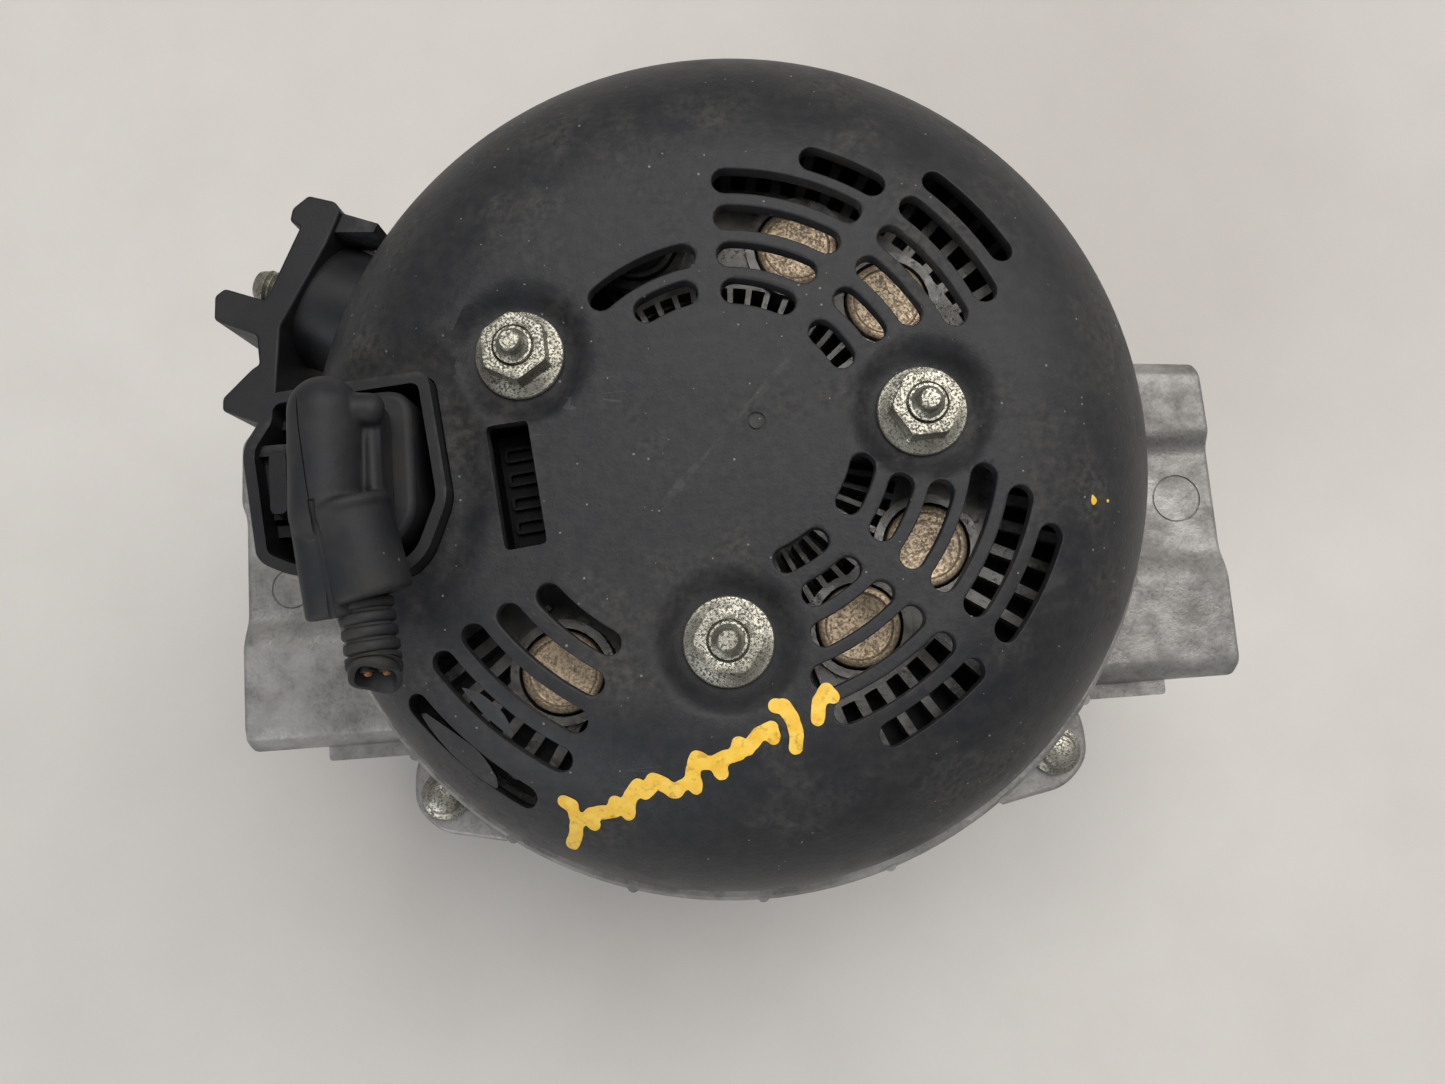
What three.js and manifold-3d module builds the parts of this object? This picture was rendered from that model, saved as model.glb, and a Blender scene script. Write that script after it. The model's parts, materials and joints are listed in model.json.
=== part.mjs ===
// A car alternator, standing on its pulley with the rear cover up.
// Millimetres. Z is the shaft axis, z = 0 is the front end of the shaft, +X runs along the mounting ears.
import * as THREE from "three";
import { mergeVertices } from "three/addons/utils/BufferGeometryUtils.js";
import Module from "manifold-3d";

const wasm = await Module();
wasm.setup();

// ---- Driving dimensions ----
const TOLERANCE = 0.01; // flat areas lose the edges that cross them
const GAP = 0.3; // working clearance between pieces that touch on the real object
const COVER_TOP = 150;
const COVER_RADIUS = 65;
const COVER_SKIN = 2.5;
const SHOULDER_Z = 119; // where the cover's rounded shoulder meets its skirt
const FLAT_RADIUS = 38; // radius of the cover's flat top
const NUT_SEAT = COVER_TOP - 2;
const STUD_TIP = COVER_TOP + 6.5;

const FRAME_RADIUS = 67.8; // both end brackets
const CORE = { inner: 49.4, outer: 66, bottom: 68, top: 102 };
const BOLT_CIRCLE = 69.3;
const BOLT_ANGLES = [-44, 62, 118, -136];
const LUG_TOP = 108;
const EAR = { x: 89.5, bottom: -38.8, top: 19, base: 42, crest: 90 };

const SHAFT = { front: 8.5, middle: 10, rear: 7.5, tail: 5, end: 139 };
const PULLEY = { radius: 28, width: 29, bore: 17, floor: 16, ribs: 6, pitch: 3.56 };
const FRONT_BEARING = { inner: 8.5, outer: 23.5, bottom: 38, width: 14, balls: 8 };
const REAR_BEARING = { inner: 7.5, outer: 17.5, bottom: 108, width: 11, balls: 8 };

const STUDS = [
  [-27.1, 13.1],
  [26.7, 1.2],
  [-1.6, -27.8],
];
const DIODES = [
  [12.7, 30],
  [25.2, 20.7],
  [27.7, -15.8],
  [17.1, -26.6],
  [-25.6, -30],
  [-11, 33],
];
const DIODE_RADIUS = 6;

// Vent slots of the cover: centre-line radius, start angle, end angle (degrees).
const SLOT_WIDTH = 3.4;
const SLOTS = [
  [40, 55.5, 68.5], [35.1, 57, 86], [29.9, 58, 85.5], [24.7, 60, 84.5], [19.6, 62, 82.5],
  [25.1, 99, 128], [20, 101.5, 118],
  [45.5, 30, 46.5], [40.2, 25, 46.5], [35, 23.5, 46], [29.8, 29, 45], [24.5, 31, 44], [18.9, 29.5, 42.5],
  [45.5, -39.5, -22], [40.2, -39, -17], [34.9, -38.5, -14], [29.8, -38, -20], [24.5, -36, -21], [18.9, -34, -18],
  [45.5, -65.5, -48.5], [40.2, -71, -49], [34.9, -72.5, -49.5], [29.8, -68.5, -50.5], [24.5, -65.5, -52.5],
  [18.9, -69, -54.5],
  [55.8, -143.5, -123.5], [48.5, -145, -121], [42.9, -145, -121.5], [37.5, -143.5, -122], [31.9, -141, -123],
];

const METALS = {
  cast: [0x8f9089, 0.62, 0.75],
  steel: [0x9a9a96, 0.4, 0.9],
  zinc: [0xb9b29a, 0.42, 0.85],
  iron: [0x55504a, 0.7, 0.6],
  copper: [0xa8623a, 0.45, 0.85],
  sink: [0x84837d, 0.6, 0.7],
};
const PLASTICS = {
  cover: [0x2c2d2f, 0.55, 0],
  moulding: [0x222326, 0.6, 0],
  rubber: [0x2e2e30, 0.8, 0],
  carbon: [0x1c1c1e, 0.7, 0.1],
  varnish: [0x8a4a22, 0.5, 0.3],
  amber: [0x6b4a2a, 0.6, 0],
};

// ---- Solids ----
const DEG = Math.PI / 180;
const polar = (r, a) => [r * Math.cos(a * DEG), r * Math.sin(a * DEG)];
const range = (n) => Array.from({ length: n }, (_, i) => i);

// A three.js geometry as a manifold solid, turned right side out.
function solid(geometry) {
  const bare = geometry.index ? geometry.toNonIndexed() : geometry.clone();
  bare.deleteAttribute("normal");
  bare.deleteAttribute("uv");
  const merged = mergeVertices(bare, 1e-4);
  const index = merged.index.array;
  let triangles = [];
  for (let i = 0; i < index.length; i += 3) {
    const [a, b, c] = [index[i], index[i + 1], index[i + 2]];
    if (a !== b && b !== c && a !== c) triangles.push([a, b, c]);
  }
  const make = (list) =>
    new wasm.Manifold(
      new wasm.Mesh({
        numProp: 3,
        vertProperties: new Float32Array(merged.attributes.position.array),
        triVerts: new Uint32Array(list.flat()),
      }),
    );
  const made = make(triangles);
  if (made.volume() > 0) return made;
  return make(triangles.map(([a, b, c]) => [a, c, b]));
}

// A profile of [r, z] points turned about Z. It starts and ends on the axis, or closes on itself.
function lathe(profile, segments = 28) {
  const onAxis = profile[0][0] === 0 && profile.at(-1)[0] === 0;
  const closed = onAxis ? profile : [...profile, profile[0]];
  const points = closed.map(([r, z]) => new THREE.Vector2(r, z));
  return solid(new THREE.LatheGeometry(points, segments).rotateX(Math.PI / 2));
}

const tube = (inner, outer, z0, z1, segments) =>
  lathe([[inner, z0], [outer, z0], [outer, z1], [inner, z1]], segments);
const rod = (r, z0, z1, segments) => lathe([[0, z0], [r, z0], [r, z1], [0, z1]], segments);

// An outline of [x, y] points pulled up from z0 to z1, with any holes left open.
function extrude(outline, z0, z1, holes = []) {
  const shape = new THREE.Shape(outline.map(([x, y]) => new THREE.Vector2(x, y)));
  for (const hole of holes) {
    shape.holes.push(new THREE.Path(hole.map(([x, y]) => new THREE.Vector2(x, y))));
  }
  const settings = { depth: z1 - z0, bevelEnabled: false };
  return solid(new THREE.ExtrudeGeometry(shape, settings).translate(0, 0, z0));
}

const circle = (r, n, [x, y] = [0, 0]) =>
  range(n).map((i) => {
    const [dx, dy] = polar(r, (360 * i) / n);
    return [x + dx, y + dy];
  });

const arc = (r, a0, a1, n) => range(n + 1).map((i) => polar(r, a0 + ((a1 - a0) * i) / n));

// A band between two radii and two angles.
const band = (r0, r1, a0, a1, n = 12) => [...arc(r1, a0, a1, n), ...arc(r0, a1, a0, n)];

// A curved slot with round ends.
function slot(r, a0, a1, width) {
  const half = width / 2;
  const cap = (a, turn) =>
    range(2).map((i) => {
      const [cx, cy] = polar(r, a);
      const [dx, dy] = polar(half, a + turn + 60 * (i + 1));
      return [cx + dx, cy + dy];
    });
  return [...arc(r + half, a0, a1, 3), ...cap(a1, 0), ...arc(r - half, a1, a0, 3), ...cap(a0, 180)];
}

const box = (x0, x1, y0, y1, z0, z1) =>
  extrude([[x0, y0], [x1, y0], [x1, y1], [x0, y1]], z0, z1);

const union = (...parts) => wasm.Manifold.union(parts.flat());
const cut = (body, ...tools) => tools.flat().reduce((left, tool) => left.subtract(tool), body);
const around = (body, angle) => body.rotate([0, 0, angle]);
const mirrored = (body) => body.mirror([1, 0, 0]);

// ---- The scene ----
const alternator = new THREE.Group();
const housing = new THREE.Group();
const rotor = new THREE.Group();
alternator.add(housing, rotor);

function add(group, name, body, [color, roughness, metalness], position = [0, 0, 0]) {
  const mesh = body.asOriginal().simplify(TOLERANCE).getMesh();
  const stride = mesh.numProp;
  const place = new Float32Array(mesh.numVert * 3);
  for (let i = 0; i < mesh.numVert; i += 1) {
    place.set(mesh.vertProperties.subarray(i * stride, i * stride + 3), i * 3);
  }
  const geometry = new THREE.BufferGeometry();
  geometry.setAttribute("position", new THREE.BufferAttribute(place, 3));
  geometry.setIndex(new THREE.BufferAttribute(mesh.triVerts, 1));
  geometry.computeVertexNormals();
  const piece = new THREE.Mesh(
    geometry,
    new THREE.MeshStandardMaterial({ color, roughness, metalness, flatShading: true }),
  );
  piece.name = name;
  piece.position.set(...position);
  group.add(piece);
}

// ---- Front bracket: bearing boss, vented web, rim, bolt lugs and the two mounting ears ----
const VENT_ANGLES = [30, 45, 77, 90, 103, 135, 150, -57, -73, -90, -107, -123]; // clear of ears and lugs
const RETAINER_ANGLES = [18, 126, 270];
const EAR_BOLT = { x: 81, z: 60, sleeve: 7.5, bore: 5.2, depth: 14 };

const boltHoles = (radius, z0, z1) =>
  BOLT_ANGLES.map((a) => rod(radius, z0, z1, 10).translate([...polar(BOLT_CIRCLE, a), 0]));

// A lug whose broad flank runs back into the rim on the side away from the ears.
function boltLug(angle, z0, z1) {
  const broad = Math.abs(angle) < 90 ? Math.sign(angle) : -Math.sign(angle);
  const outline = [
    [BOLT_CIRCLE - 8, -10], [BOLT_CIRCLE + 0.2, -7.4], [BOLT_CIRCLE + 5.2, -2.6], [BOLT_CIRCLE + 5.3, 3.4],
    [BOLT_CIRCLE + 1.4, 9], [BOLT_CIRCLE - 2.6, 15], [BOLT_CIRCLE - 9, 15],
  ];
  return around(extrude(outline.map(([u, v]) => [u, v * broad]), z0, z1), angle);
}

function ear() {
  const side = [
    [EAR.bottom, EAR.base + 6],
    [EAR.bottom, EAR.crest - 4],
    [EAR.bottom + 2.4, EAR.crest],
    [-19.5, EAR.crest],
    [-17.5, EAR.crest - 2.5],
    [4, EAR.crest - 2.5],
    [6, EAR.crest],
    [EAR.top - 3, EAR.crest - 1],
    [EAR.top, EAR.crest - 4],
    [EAR.top, EAR.base + 20],
    [0, EAR.base],
    [-30, EAR.base],
  ];
  // The side outline lies in the Y-Z plane and is pulled along X.
  const slab = extrude(side, 56, EAR.x).rotate([90, 0, 90]);
  const pad = box(61, 77, EAR.bottom - 2.6, EAR.bottom + 1, EAR.base + 14, EAR.crest - 5);
  const pocket = box(72, EAR.x - 5, -14, 12, EAR.base - 1, EAR.crest - 9);
  return cut(union(slab, pad), pocket);
}

const earBore = (radius, y0, y1) =>
  rod(radius, y0, y1, 16).rotate([-90, 0, 0]).translate([EAR_BOLT.x, 0, EAR_BOLT.z]);

function frontBracket() {
  const inside = FRAME_RADIUS - 5;
  const seat = FRONT_BEARING.outer + GAP;
  const shell = lathe([
    [seat, 53], [seat, 37], [28, 35], [30, 50], [54, 50], [FRAME_RADIUS - 3, 54], [FRAME_RADIUS, 60],
    [FRAME_RADIUS, 72], [CORE.outer + GAP, 72], [CORE.outer + GAP, CORE.bottom - GAP],
    [inside, CORE.bottom - GAP], [inside, 60], [inside - 4, 54.5], [28, 54.5],
  ], 36);
  const core = rod(CORE.outer + GAP, CORE.bottom - GAP, 110, 36);
  const hollow = lathe([[0, 50.5], [54, 50.5], [inside, 60], [inside, 110], [0, 110]], 36);
  const outside = cut(union(BOLT_ANGLES.map((a) => boltLug(a, 58, 84)), ear(), mirrored(ear())), core, hollow);
  const vents = range(8).map((i) => extrude(band(33.5, 51, 45 * i + 6, 45 * i + 38, 3), 48, 56));
  const sideVents = VENT_ANGLES.map((a) => around(box(55, 72, -3, 3, 57.5, 65), a));
  const screws = RETAINER_ANGLES.map((a) => rod(1.7, 50, 56, 8).translate([...polar(29.5, a), 0]));
  const bores = [
    earBore(EAR_BOLT.bore, -50, 40),
    earBore(EAR_BOLT.sleeve + GAP, -50, EAR.bottom + EAR_BOLT.depth),
  ];
  return cut(
    union(shell, outside), vents, sideVents, screws, boltHoles(2.5, 70, 90), bores, bores.map(mirrored),
  );
}

add(housing, "front_bracket", frontBracket(), METALS.cast);
for (const side of [1, -1]) {
  const sleeve = tube(EAR_BOLT.bore, EAR_BOLT.sleeve, 0, EAR_BOLT.depth - GAP, 20).rotate([-90, 0, 0]);
  const name = side > 0 ? "ear_bushing_right" : "ear_bushing_left";
  add(housing, name, sleeve, METALS.steel, [side * EAR_BOLT.x, EAR.bottom, EAR_BOLT.z]);
}

// ---- Output terminal's axis ----
const TERMINAL = { x: -75.2, y: 37.8, z: 116, angle: 157.5, radius: 3 };
// Lays a solid built about Z along the output stud's axis, pointing outwards.
const terminalAxis = (body) =>
  body.rotate([0, 90, 0]).rotate([0, 0, TERMINAL.angle]).translate([TERMINAL.x, TERMINAL.y, TERMINAL.z]);

// ---- Rear bracket ----
function rearBracket() {
  const inside = FRAME_RADIUS - 4.8;
  const seat = REAR_BEARING.outer + GAP;
  const bearingTop = REAR_BEARING.bottom + REAR_BEARING.width + GAP;
  const shell = lathe([
    [seat, 107], [21.5, 107], [22.5, 113.5], [58, 113.5], [inside, 110], [inside, CORE.top + GAP],
    [CORE.outer + GAP, CORE.top + GAP], [CORE.outer + GAP, 98], [FRAME_RADIUS, 98], [FRAME_RADIUS, 118],
    [22, 118], [20, 120.5], [9.5, 120.5], [9.5, bearingTop], [seat, bearingTop],
  ], 36);
  const core = rod(CORE.outer + GAP, 80, CORE.top + GAP, 36);
  const lugs = cut(union(BOLT_ANGLES.map((a) => boltLug(a, 92, LUG_TOP))), core, rod(inside, 90, 110, 36));
  const vents = range(8).map((i) => extrude(band(26, 50, 45 * i + 14, 45 * i + 38, 3), 112, 122));
  const sideVents = [...VENT_ANGLES.filter((a) => a !== 150), 12, -8, -28, 188, 208]
    .map((a) => around(box(58, 72, -3.5, 3.5, 103.5, 110), a));
  const studs = STUDS.map((p) => rod(2.8, 112, 122, 8).translate([...p, 0]));
  const terminal = terminalAxis(rod(11.2, -30, 40, 20));
  return cut(
    union(shell, lugs), vents, sideVents, studs, boltHoles(2.5, 85, 115), boltHoles(4.3, LUG_TOP, 114), terminal,
  );
}

add(housing, "rear_bracket", rearBracket(), METALS.cast);

// ---- Through bolts: heads on the rear lugs ----
const boltBody = union(rod(2.2, -33, 0.2, 10), lathe([[0, 0], [3.9, 0], [3.9, 3], [3.2, 3.6], [0, 3.6]], 10));
BOLT_ANGLES.forEach((a, i) => {
  const [x, y] = polar(BOLT_CIRCLE, a);
  add(housing, `through_bolt_${i + 1}`, boltBody, METALS.steel, [x, y, LUG_TOP + GAP]);
});

// ---- Stator ----
const TEETH = 18;
function statorCore() {
  const tooth = (i) => {
    const a = (360 * i) / TEETH;
    return [
      ...arc(61.5, a - 4.4, a + 4.4, 1),
      ...arc(CORE.inner, a + 5, a + 15, 2),
    ];
  };
  const bore = range(TEETH).flatMap(tooth);
  return extrude(circle(CORE.outer, 48), CORE.bottom, CORE.top, [bore]);
}

function statorWinding() {
  const bars = range(TEETH).map((i) =>
    around(box(51.5, 60.4, -3.4, 3.4, CORE.bottom - 2, CORE.top + 2), (360 * i) / TEETH));
  const crown = (z0, z1) =>
    lathe([[51.5, z0 + 2], [54, z0], [58, z0], [60.6, z0 + 2], [60.6, z1 - 2], [58, z1], [54, z1], [51.5, z1 - 2]], TEETH)
      .rotate([0, 0, 180 / TEETH]);
  return union(bars, crown(58, CORE.bottom - GAP - 0.2), crown(CORE.top + GAP + 0.2, 109.5));
}

add(housing, "stator_core", statorCore(), METALS.iron);
add(housing, "stator_winding", statorWinding(), PLASTICS.varnish);

// ---- Bearings: two grooved races and a cage that holds the balls ----
function bearing(spec) {
  const { bottom, width, balls } = spec;
  const inner = spec.inner + GAP;
  const outer = spec.outer - 0.05;
  const middle = (inner + outer) / 2;
  const ball = (outer - inner) * 0.27;
  const land = ball * 0.62;
  const centre = bottom + width / 2;
  const groove = (side, base) =>
    [-1, 0, 1].map((t) => [
      base + side * Math.sqrt((ball + GAP) ** 2 - (t * ball * 0.75) ** 2),
      centre + t * ball * 0.75,
    ]);
  const innerRace = lathe([
    [inner, bottom], [middle - land, bottom], ...groove(-1, middle), [middle - land, bottom + width],
    [inner, bottom + width],
  ], 24);
  const outerRace = lathe([
    [outer, bottom], [middle + land, bottom], ...groove(1, middle), [middle + land, bottom + width],
    [outer, bottom + width],
  ], 24);
  const sphere = solid(new THREE.IcosahedronGeometry(ball * 0.92, 0)); // clears the flats of the grooves
  const ring = tube(middle - land * 0.55, middle + land * 0.55, centre - 1, centre + 1, 16);
  const set = range(balls).map((i) => around(sphere.translate([middle, 0, centre]), (360 * i) / balls));
  return { innerRace, outerRace, cage: union(ring, set) };
}

const front = bearing(FRONT_BEARING);
const rear = bearing(REAR_BEARING);
add(housing, "front_bearing_outer_race", front.outerRace, METALS.steel);
add(housing, "rear_bearing_outer_race", rear.outerRace, METALS.steel);
add(alternator, "front_ball_cage", front.cage, METALS.steel);
add(alternator, "rear_ball_cage", rear.cage, METALS.steel);
add(rotor, "front_bearing_inner_race", front.innerRace, METALS.steel);
add(rotor, "rear_bearing_inner_race", rear.innerRace, METALS.steel);

// The retainer plate clamps the front bearing in its boss.
const retainerHoles = RETAINER_ANGLES.map((a) => circle(1.9, 8, polar(29.5, a)));
const retainer = extrude(circle(32.5, 30), 54.9, 56.6, [circle(19, 24), ...retainerHoles]);
add(housing, "bearing_retainer", retainer, METALS.steel);
const screw = union(rod(1.4, -3.8, 0.2, 10), lathe([[0, 0], [2.9, 0], [2.3, 1.2], [0, 1.3]], 10));
RETAINER_ANGLES.forEach((a, i) => {
  add(housing, `retainer_screw_${i + 1}`, screw, METALS.zinc, [...polar(29.5, a), 56.6 + GAP]);
});

// ---- Rectifier ----
// A finned plate: teeth stand out from both edges of the band between two angles.
function comb([r0, r1], [tip0, tip1], a0, a1, pitch) {
  const teeth = Math.round((a1 - a0) / pitch);
  const step = (a1 - a0) / teeth;
  const edge = (root, tip) =>
    range(teeth).flatMap((i) => {
      const a = a0 + step * i;
      const half = (0.9 / tip / DEG);
      const mid = a + step / 2;
      return [polar(root, mid - half), polar(tip, mid - half), polar(tip, mid + half), polar(root, mid + half)];
    });
  return [...edge(r1, tip1), ...edge(r0, tip0).reverse()];
}

const diodeHoles = DIODES.map((p) => rod(DIODE_RADIUS + GAP, 110, 140, 16).translate([...p, 0]));
const studHoles = STUDS.map((p) => rod(3.4, 110, 142, 8).translate([...p, 0]));
const sinkPlate = union(
  extrude(comb([24.6, 40.6], [17, 48], -74, 92, 8), 127, 135),
  extrude(band(24.6, 42, -150, -70, 12), 127, 131),
  extrude(band(24.6, 42, 88, 121, 4), 127, 131),
);
const studBosses = STUDS.slice(1).map((p) => rod(5.4, 127, 131, 12).translate([...p, 0]));
const bosses = DIODES.map((p) => rod(DIODE_RADIUS + 1.6, 127, 135.6, 16).translate([...p, 0]));
add(housing, "rectifier_positive_sink", cut(union(sinkPlate, bosses, studBosses), diodeHoles, studHoles), METALS.sink);
const negative = extrude(band(23.6, 57, -152, 128, 24), 118.4, 122.4);
const terminalNotch = terminalAxis(rod(6, -60, 0, 16));
add(housing, "rectifier_negative_sink", cut(negative, studHoles, terminalNotch), METALS.sink);
const module = extrude(band(23.6, 58, -150, 122, 24), 122.8, 126.6);
add(housing, "rectifier_terminal_module", cut(module, studHoles, terminalNotch), PLASTICS.moulding);
const diode = lathe([[0, 0], [DIODE_RADIUS, 0], [DIODE_RADIUS, 8.4], [5.4, 9], [0, 9]], 16);
DIODES.forEach((p, i) => {
  add(housing, `diode_${i + 1}`, diode, METALS.copper, [...p, 127]);
});

// ---- Regulator with the connector socket that stands up through the cover ----
const SOCKET = [
  [-39, 11.2], [-59.7, 9.6], [-61.3, 8.1], [-61.4, 6.2], [-64.1, 2.3], [-62.6, -12.1], [-61.6, -13.3], [-58, -15.1],
  [-42.9, -15.8], [-40.1, -13.4], [-37, -6.2],
];
const SOCKET_TOP = 152;
const socketCentre = [-50.5, -2.3];
// The socket's outline moved in or out by about the given distance.
const socketAt = (offset) =>
  SOCKET.map(([x, y]) => {
    const [dx, dy] = [x - socketCentre[0], y - socketCentre[1]];
    const size = Math.hypot(dx, dy);
    return [x + (dx / size) * offset * 1.15, y + (dy / size) * offset * 1.15];
  });
const regulatorBase = extrude([[-57.4, -15.4], [-36, -15.4], [-36, 12], [-57.4, 12]], 120, 130);
const regulator = cut(
  union(regulatorBase, extrude(SOCKET, 130 - 0.5, SOCKET_TOP)),
  extrude(socketAt(-1.5), 134, SOCKET_TOP + 1),
);
add(housing, "voltage_regulator", regulator, PLASTICS.moulding);

// ---- Brush gear: two carbon brushes slide towards the slip rings along -X ----
const BRUSH = { tip: -8.6, length: 13.5, halfWidth: 3, height: 4.6, spring: 9.8 };
const BRUSH_Z = [126.8, 134.8];
const channels = BRUSH_Z.map((z) =>
  box(-32.6, -10, -BRUSH.halfWidth - GAP, BRUSH.halfWidth + GAP, z - BRUSH.height / 2 - GAP, z + BRUSH.height / 2 + GAP));
const holder = cut(box(-34, -11.5, -5.5, 5.5, 121, 140), channels);
add(housing, "brush_holder", holder, PLASTICS.moulding);

class Coil extends THREE.Curve {
  constructor(turns, length, radius) {
    super();
    Object.assign(this, { turns, length, radius });
  }
  getPoint(t, target = new THREE.Vector3()) {
    const a = 2 * Math.PI * this.turns * t;
    return target.set(this.length * t, this.radius * Math.cos(a), this.radius * Math.sin(a));
  }
}
function coilSpring(turns, length, radius, wire) {
  const path = new Coil(turns, length, radius);
  const shape = new THREE.Shape(circle(wire, 4).map(([x, y]) => new THREE.Vector2(x, y)));
  return solid(new THREE.ExtrudeGeometry(shape, { steps: turns * 7, extrudePath: path }));
}

BRUSH_Z.forEach((z, i) => {
  const back = BRUSH.tip - BRUSH.length;
  const block = box(back, BRUSH.tip, -BRUSH.halfWidth, BRUSH.halfWidth, -BRUSH.height / 2, BRUSH.height / 2);
  add(alternator, `brush_${i + 1}`, block, PLASTICS.carbon, [0, 0, z]);
  const spring = coilSpring(5, BRUSH.spring - 1.2, 1.6, 0.3);
  add(alternator, `brush_spring_${i + 1}`, spring, METALS.steel, [back - BRUSH.spring + 0.2, 0, z]);
});

// ---- Rear cover ----
const shoulder = (inset, steps = 5) =>
  range(steps + 1).map((i) => {
    const t = ((90 * i) / steps) * DEG;
    const [a, b] = [COVER_RADIUS - FLAT_RADIUS - inset, COVER_TOP - SHOULDER_Z - inset];
    return [FLAT_RADIUS + a * Math.cos(t), SHOULDER_Z + b * Math.sin(t)];
  });
const WINDOW = { x: -28.3, y: -4.9, width: 5.7, height: 17, turn: 6, floor: 143 };

function rearCover() {
  const bottom = 118.4;
  const skin = lathe([
    [COVER_RADIUS, bottom], ...shoulder(0), [0, COVER_TOP], [0, COVER_TOP - COVER_SKIN],
    ...shoulder(COVER_SKIN).reverse(), [COVER_RADIUS - COVER_SKIN, bottom],
  ], 40);
  const seats = STUDS.map((p) => rod(13, NUT_SEAT - COVER_SKIN, COVER_TOP - 1, 16).translate([...p, 0]));
  const dishes = STUDS.map((p) =>
    lathe([[0, NUT_SEAT], [7.5, NUT_SEAT], [12, COVER_TOP + 0.2], [0, COVER_TOP + 0.2]], 16).translate([...p, 0]));
  const holes = STUDS.map((p) => rod(2.8, 140, 151, 10).translate([...p, 0]));
  const place = (body) => around(body, WINDOW.turn).translate([WINDOW.x, WINDOW.y, 0]);
  const [w, h] = [WINDOW.width / 2, WINDOW.height / 2];
  const tray = place(box(-w - 1.6, w + 1.6, -h - 1.6, h + 1.6, WINDOW.floor - 1.6, COVER_TOP - 1));
  const well = place(box(-w, w, -h, h, WINDOW.floor, COVER_TOP + 1));
  const ribs = [-4.4, 0, 4.4].map((y) => place(box(-w + 0.4, w - 0.4, y - 0.5, y + 0.5, WINDOW.floor - 0.5, 145)));
  const slots = SLOTS.map(([r, a0, a1]) => extrude(slot(r, a0, a1, SLOT_WIDTH), 132, COVER_TOP + 1));
  const socket = extrude(socketAt(0.6), 129.2, COVER_TOP + 1);
  const terminal = terminalAxis(rod(11.2, -30, 20, 20));
  return union(cut(union(skin, seats, tray), well, dishes, holes, slots, socket, terminal), ribs);
}
add(housing, "rear_cover", rearCover(), PLASTICS.cover);

const stud = union(rod(2.5, 118.6, STUD_TIP - 1.8, 10), rod(1.5, STUD_TIP - 2, STUD_TIP, 10));
const nut = cut(
  union(rod(6, 0, 1.4, 20), lathe([[0, 1.2], [4.6, 1.2], [4.6, 4.9], [3.9, 5.6], [0, 5.6]], 6)),
  rod(2.8, -1, 7, 10),
);
STUDS.forEach((p, i) => {
  add(housing, `cover_stud_${i + 1}`, stud, METALS.zinc, [...p, 0]);
  add(housing, `cover_nut_${i + 1}`, nut, METALS.zinc, [...p, NUT_SEAT + GAP]);
});

// ---- Output terminal ----
add(housing, "output_stud", terminalAxis(rod(TERMINAL.radius, -26, 0, 16)), METALS.zinc);

function outputInsulator() {
  const [z0, z1] = [104, 128];
  const wall = [
    [-62.3, 47.3], [-58.2, 46], [-57.3, 44.4], [-59.8, 39], [-67.4, 26.5], [-68.4, 15.8], [-71.1, 11.4], [-76.8, 13.9],
    [-76.7, 15.9], [-72, 20.2], [-70.9, 20.8], [-71.2, 25.4], [-77.7, 28.4], [-77.5, 32.2], [-75.9, 33.3], [-69.6, 30.9],
    [-63.8, 42.3], [-65.4, 43.4], [-64.9, 45.4],
  ];
  const arm = extrude([[-58, 44.6], [-51.8, 42.2], [-52.6, 40.9], [-59.4, 41.4]], 118.7, z1 - 1);
  const collar = terminalAxis(rod(10.5, -23, -9, 24));
  const hollow = terminalAxis(rod(TERMINAL.radius + GAP, -40, 20, 16));
  const cup = terminalAxis(rod(8, -40, -14, 20));
  const bracketSide = tube(10, FRAME_RADIUS - 6.5, 90, 140, 48);
  return cut(union(extrude(wall, z0, z1), arm, collar), hollow, cup, bracketSide);
}
add(housing, "output_insulator", outputInsulator(), PLASTICS.moulding);

// ---- Plug, boot and strain relief ----
const plugOutline = [[-41, 8.5], [-50, 8.2], [-52.5, 5], [-52.5, -9], [-50, -12], [-43.7, -12.3], [-40.9, -8.5]];
const RELIEF = { x: -46.6, z: 157, ringRadius: 3.5, from: -19.5, to: -31, turn: 3 };
add(housing, "plug_housing", extrude(plugOutline, 136, 153.7), PLASTICS.moulding);

function plugBoot() {
  const cap = extrude([[-52.8, 5], [-50.5, 8.3], [-48, 8.3], [-45.5, 5], [-44.8, -9], [-53, -9]], 154, 165);
  const neck = extrude([[-45.5, 6.5], [-43.5, 4.5], [-42.6, -4], [-43.5, -9], [-48, -9], [-48, 6.5]], 154, 161);
  const cuff = rod(6.1, -20.5, -7.6, 16).scale([1, 0.9, 1]).rotate([-90, 0, 0]).translate([-48.9, 0, 159.6]);
  const rings = range(5).map((i) => {
    const y = RELIEF.from - 2.4 * i;
    const crest = RELIEF.ringRadius;
    return lathe([[0, y - 1.9], [2.9, y - 1.9], [crest, y - 1.4], [crest, y], [2.9, y + 0.6], [0, y + 0.6]], 14);
  });
  const bore = rod(2.4, RELIEF.to - 3, RELIEF.from - 1, 10);
  const relief = cut(union(rings), bore).rotate([-90, 0, 0]).translate([0, 20, 0]).rotate([0, 0, RELIEF.turn]).translate([RELIEF.x, -20, RELIEF.z]);
  return union(cap, neck, cuff, relief);
}
add(housing, "plug_boot", plugBoot(), PLASTICS.rubber);
[-1, 1].forEach((side, i) => {
  const wire = rod(0.9, -8.6, 0, 8).rotate([-90, 0, 0]).rotate([0, 0, RELIEF.turn]);
  add(housing, `plug_wire_${i + 1}`, wire, PLASTICS.carbon, [RELIEF.x + 0.1 + side * 1.2, -21.2, RELIEF.z]);
});

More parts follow.
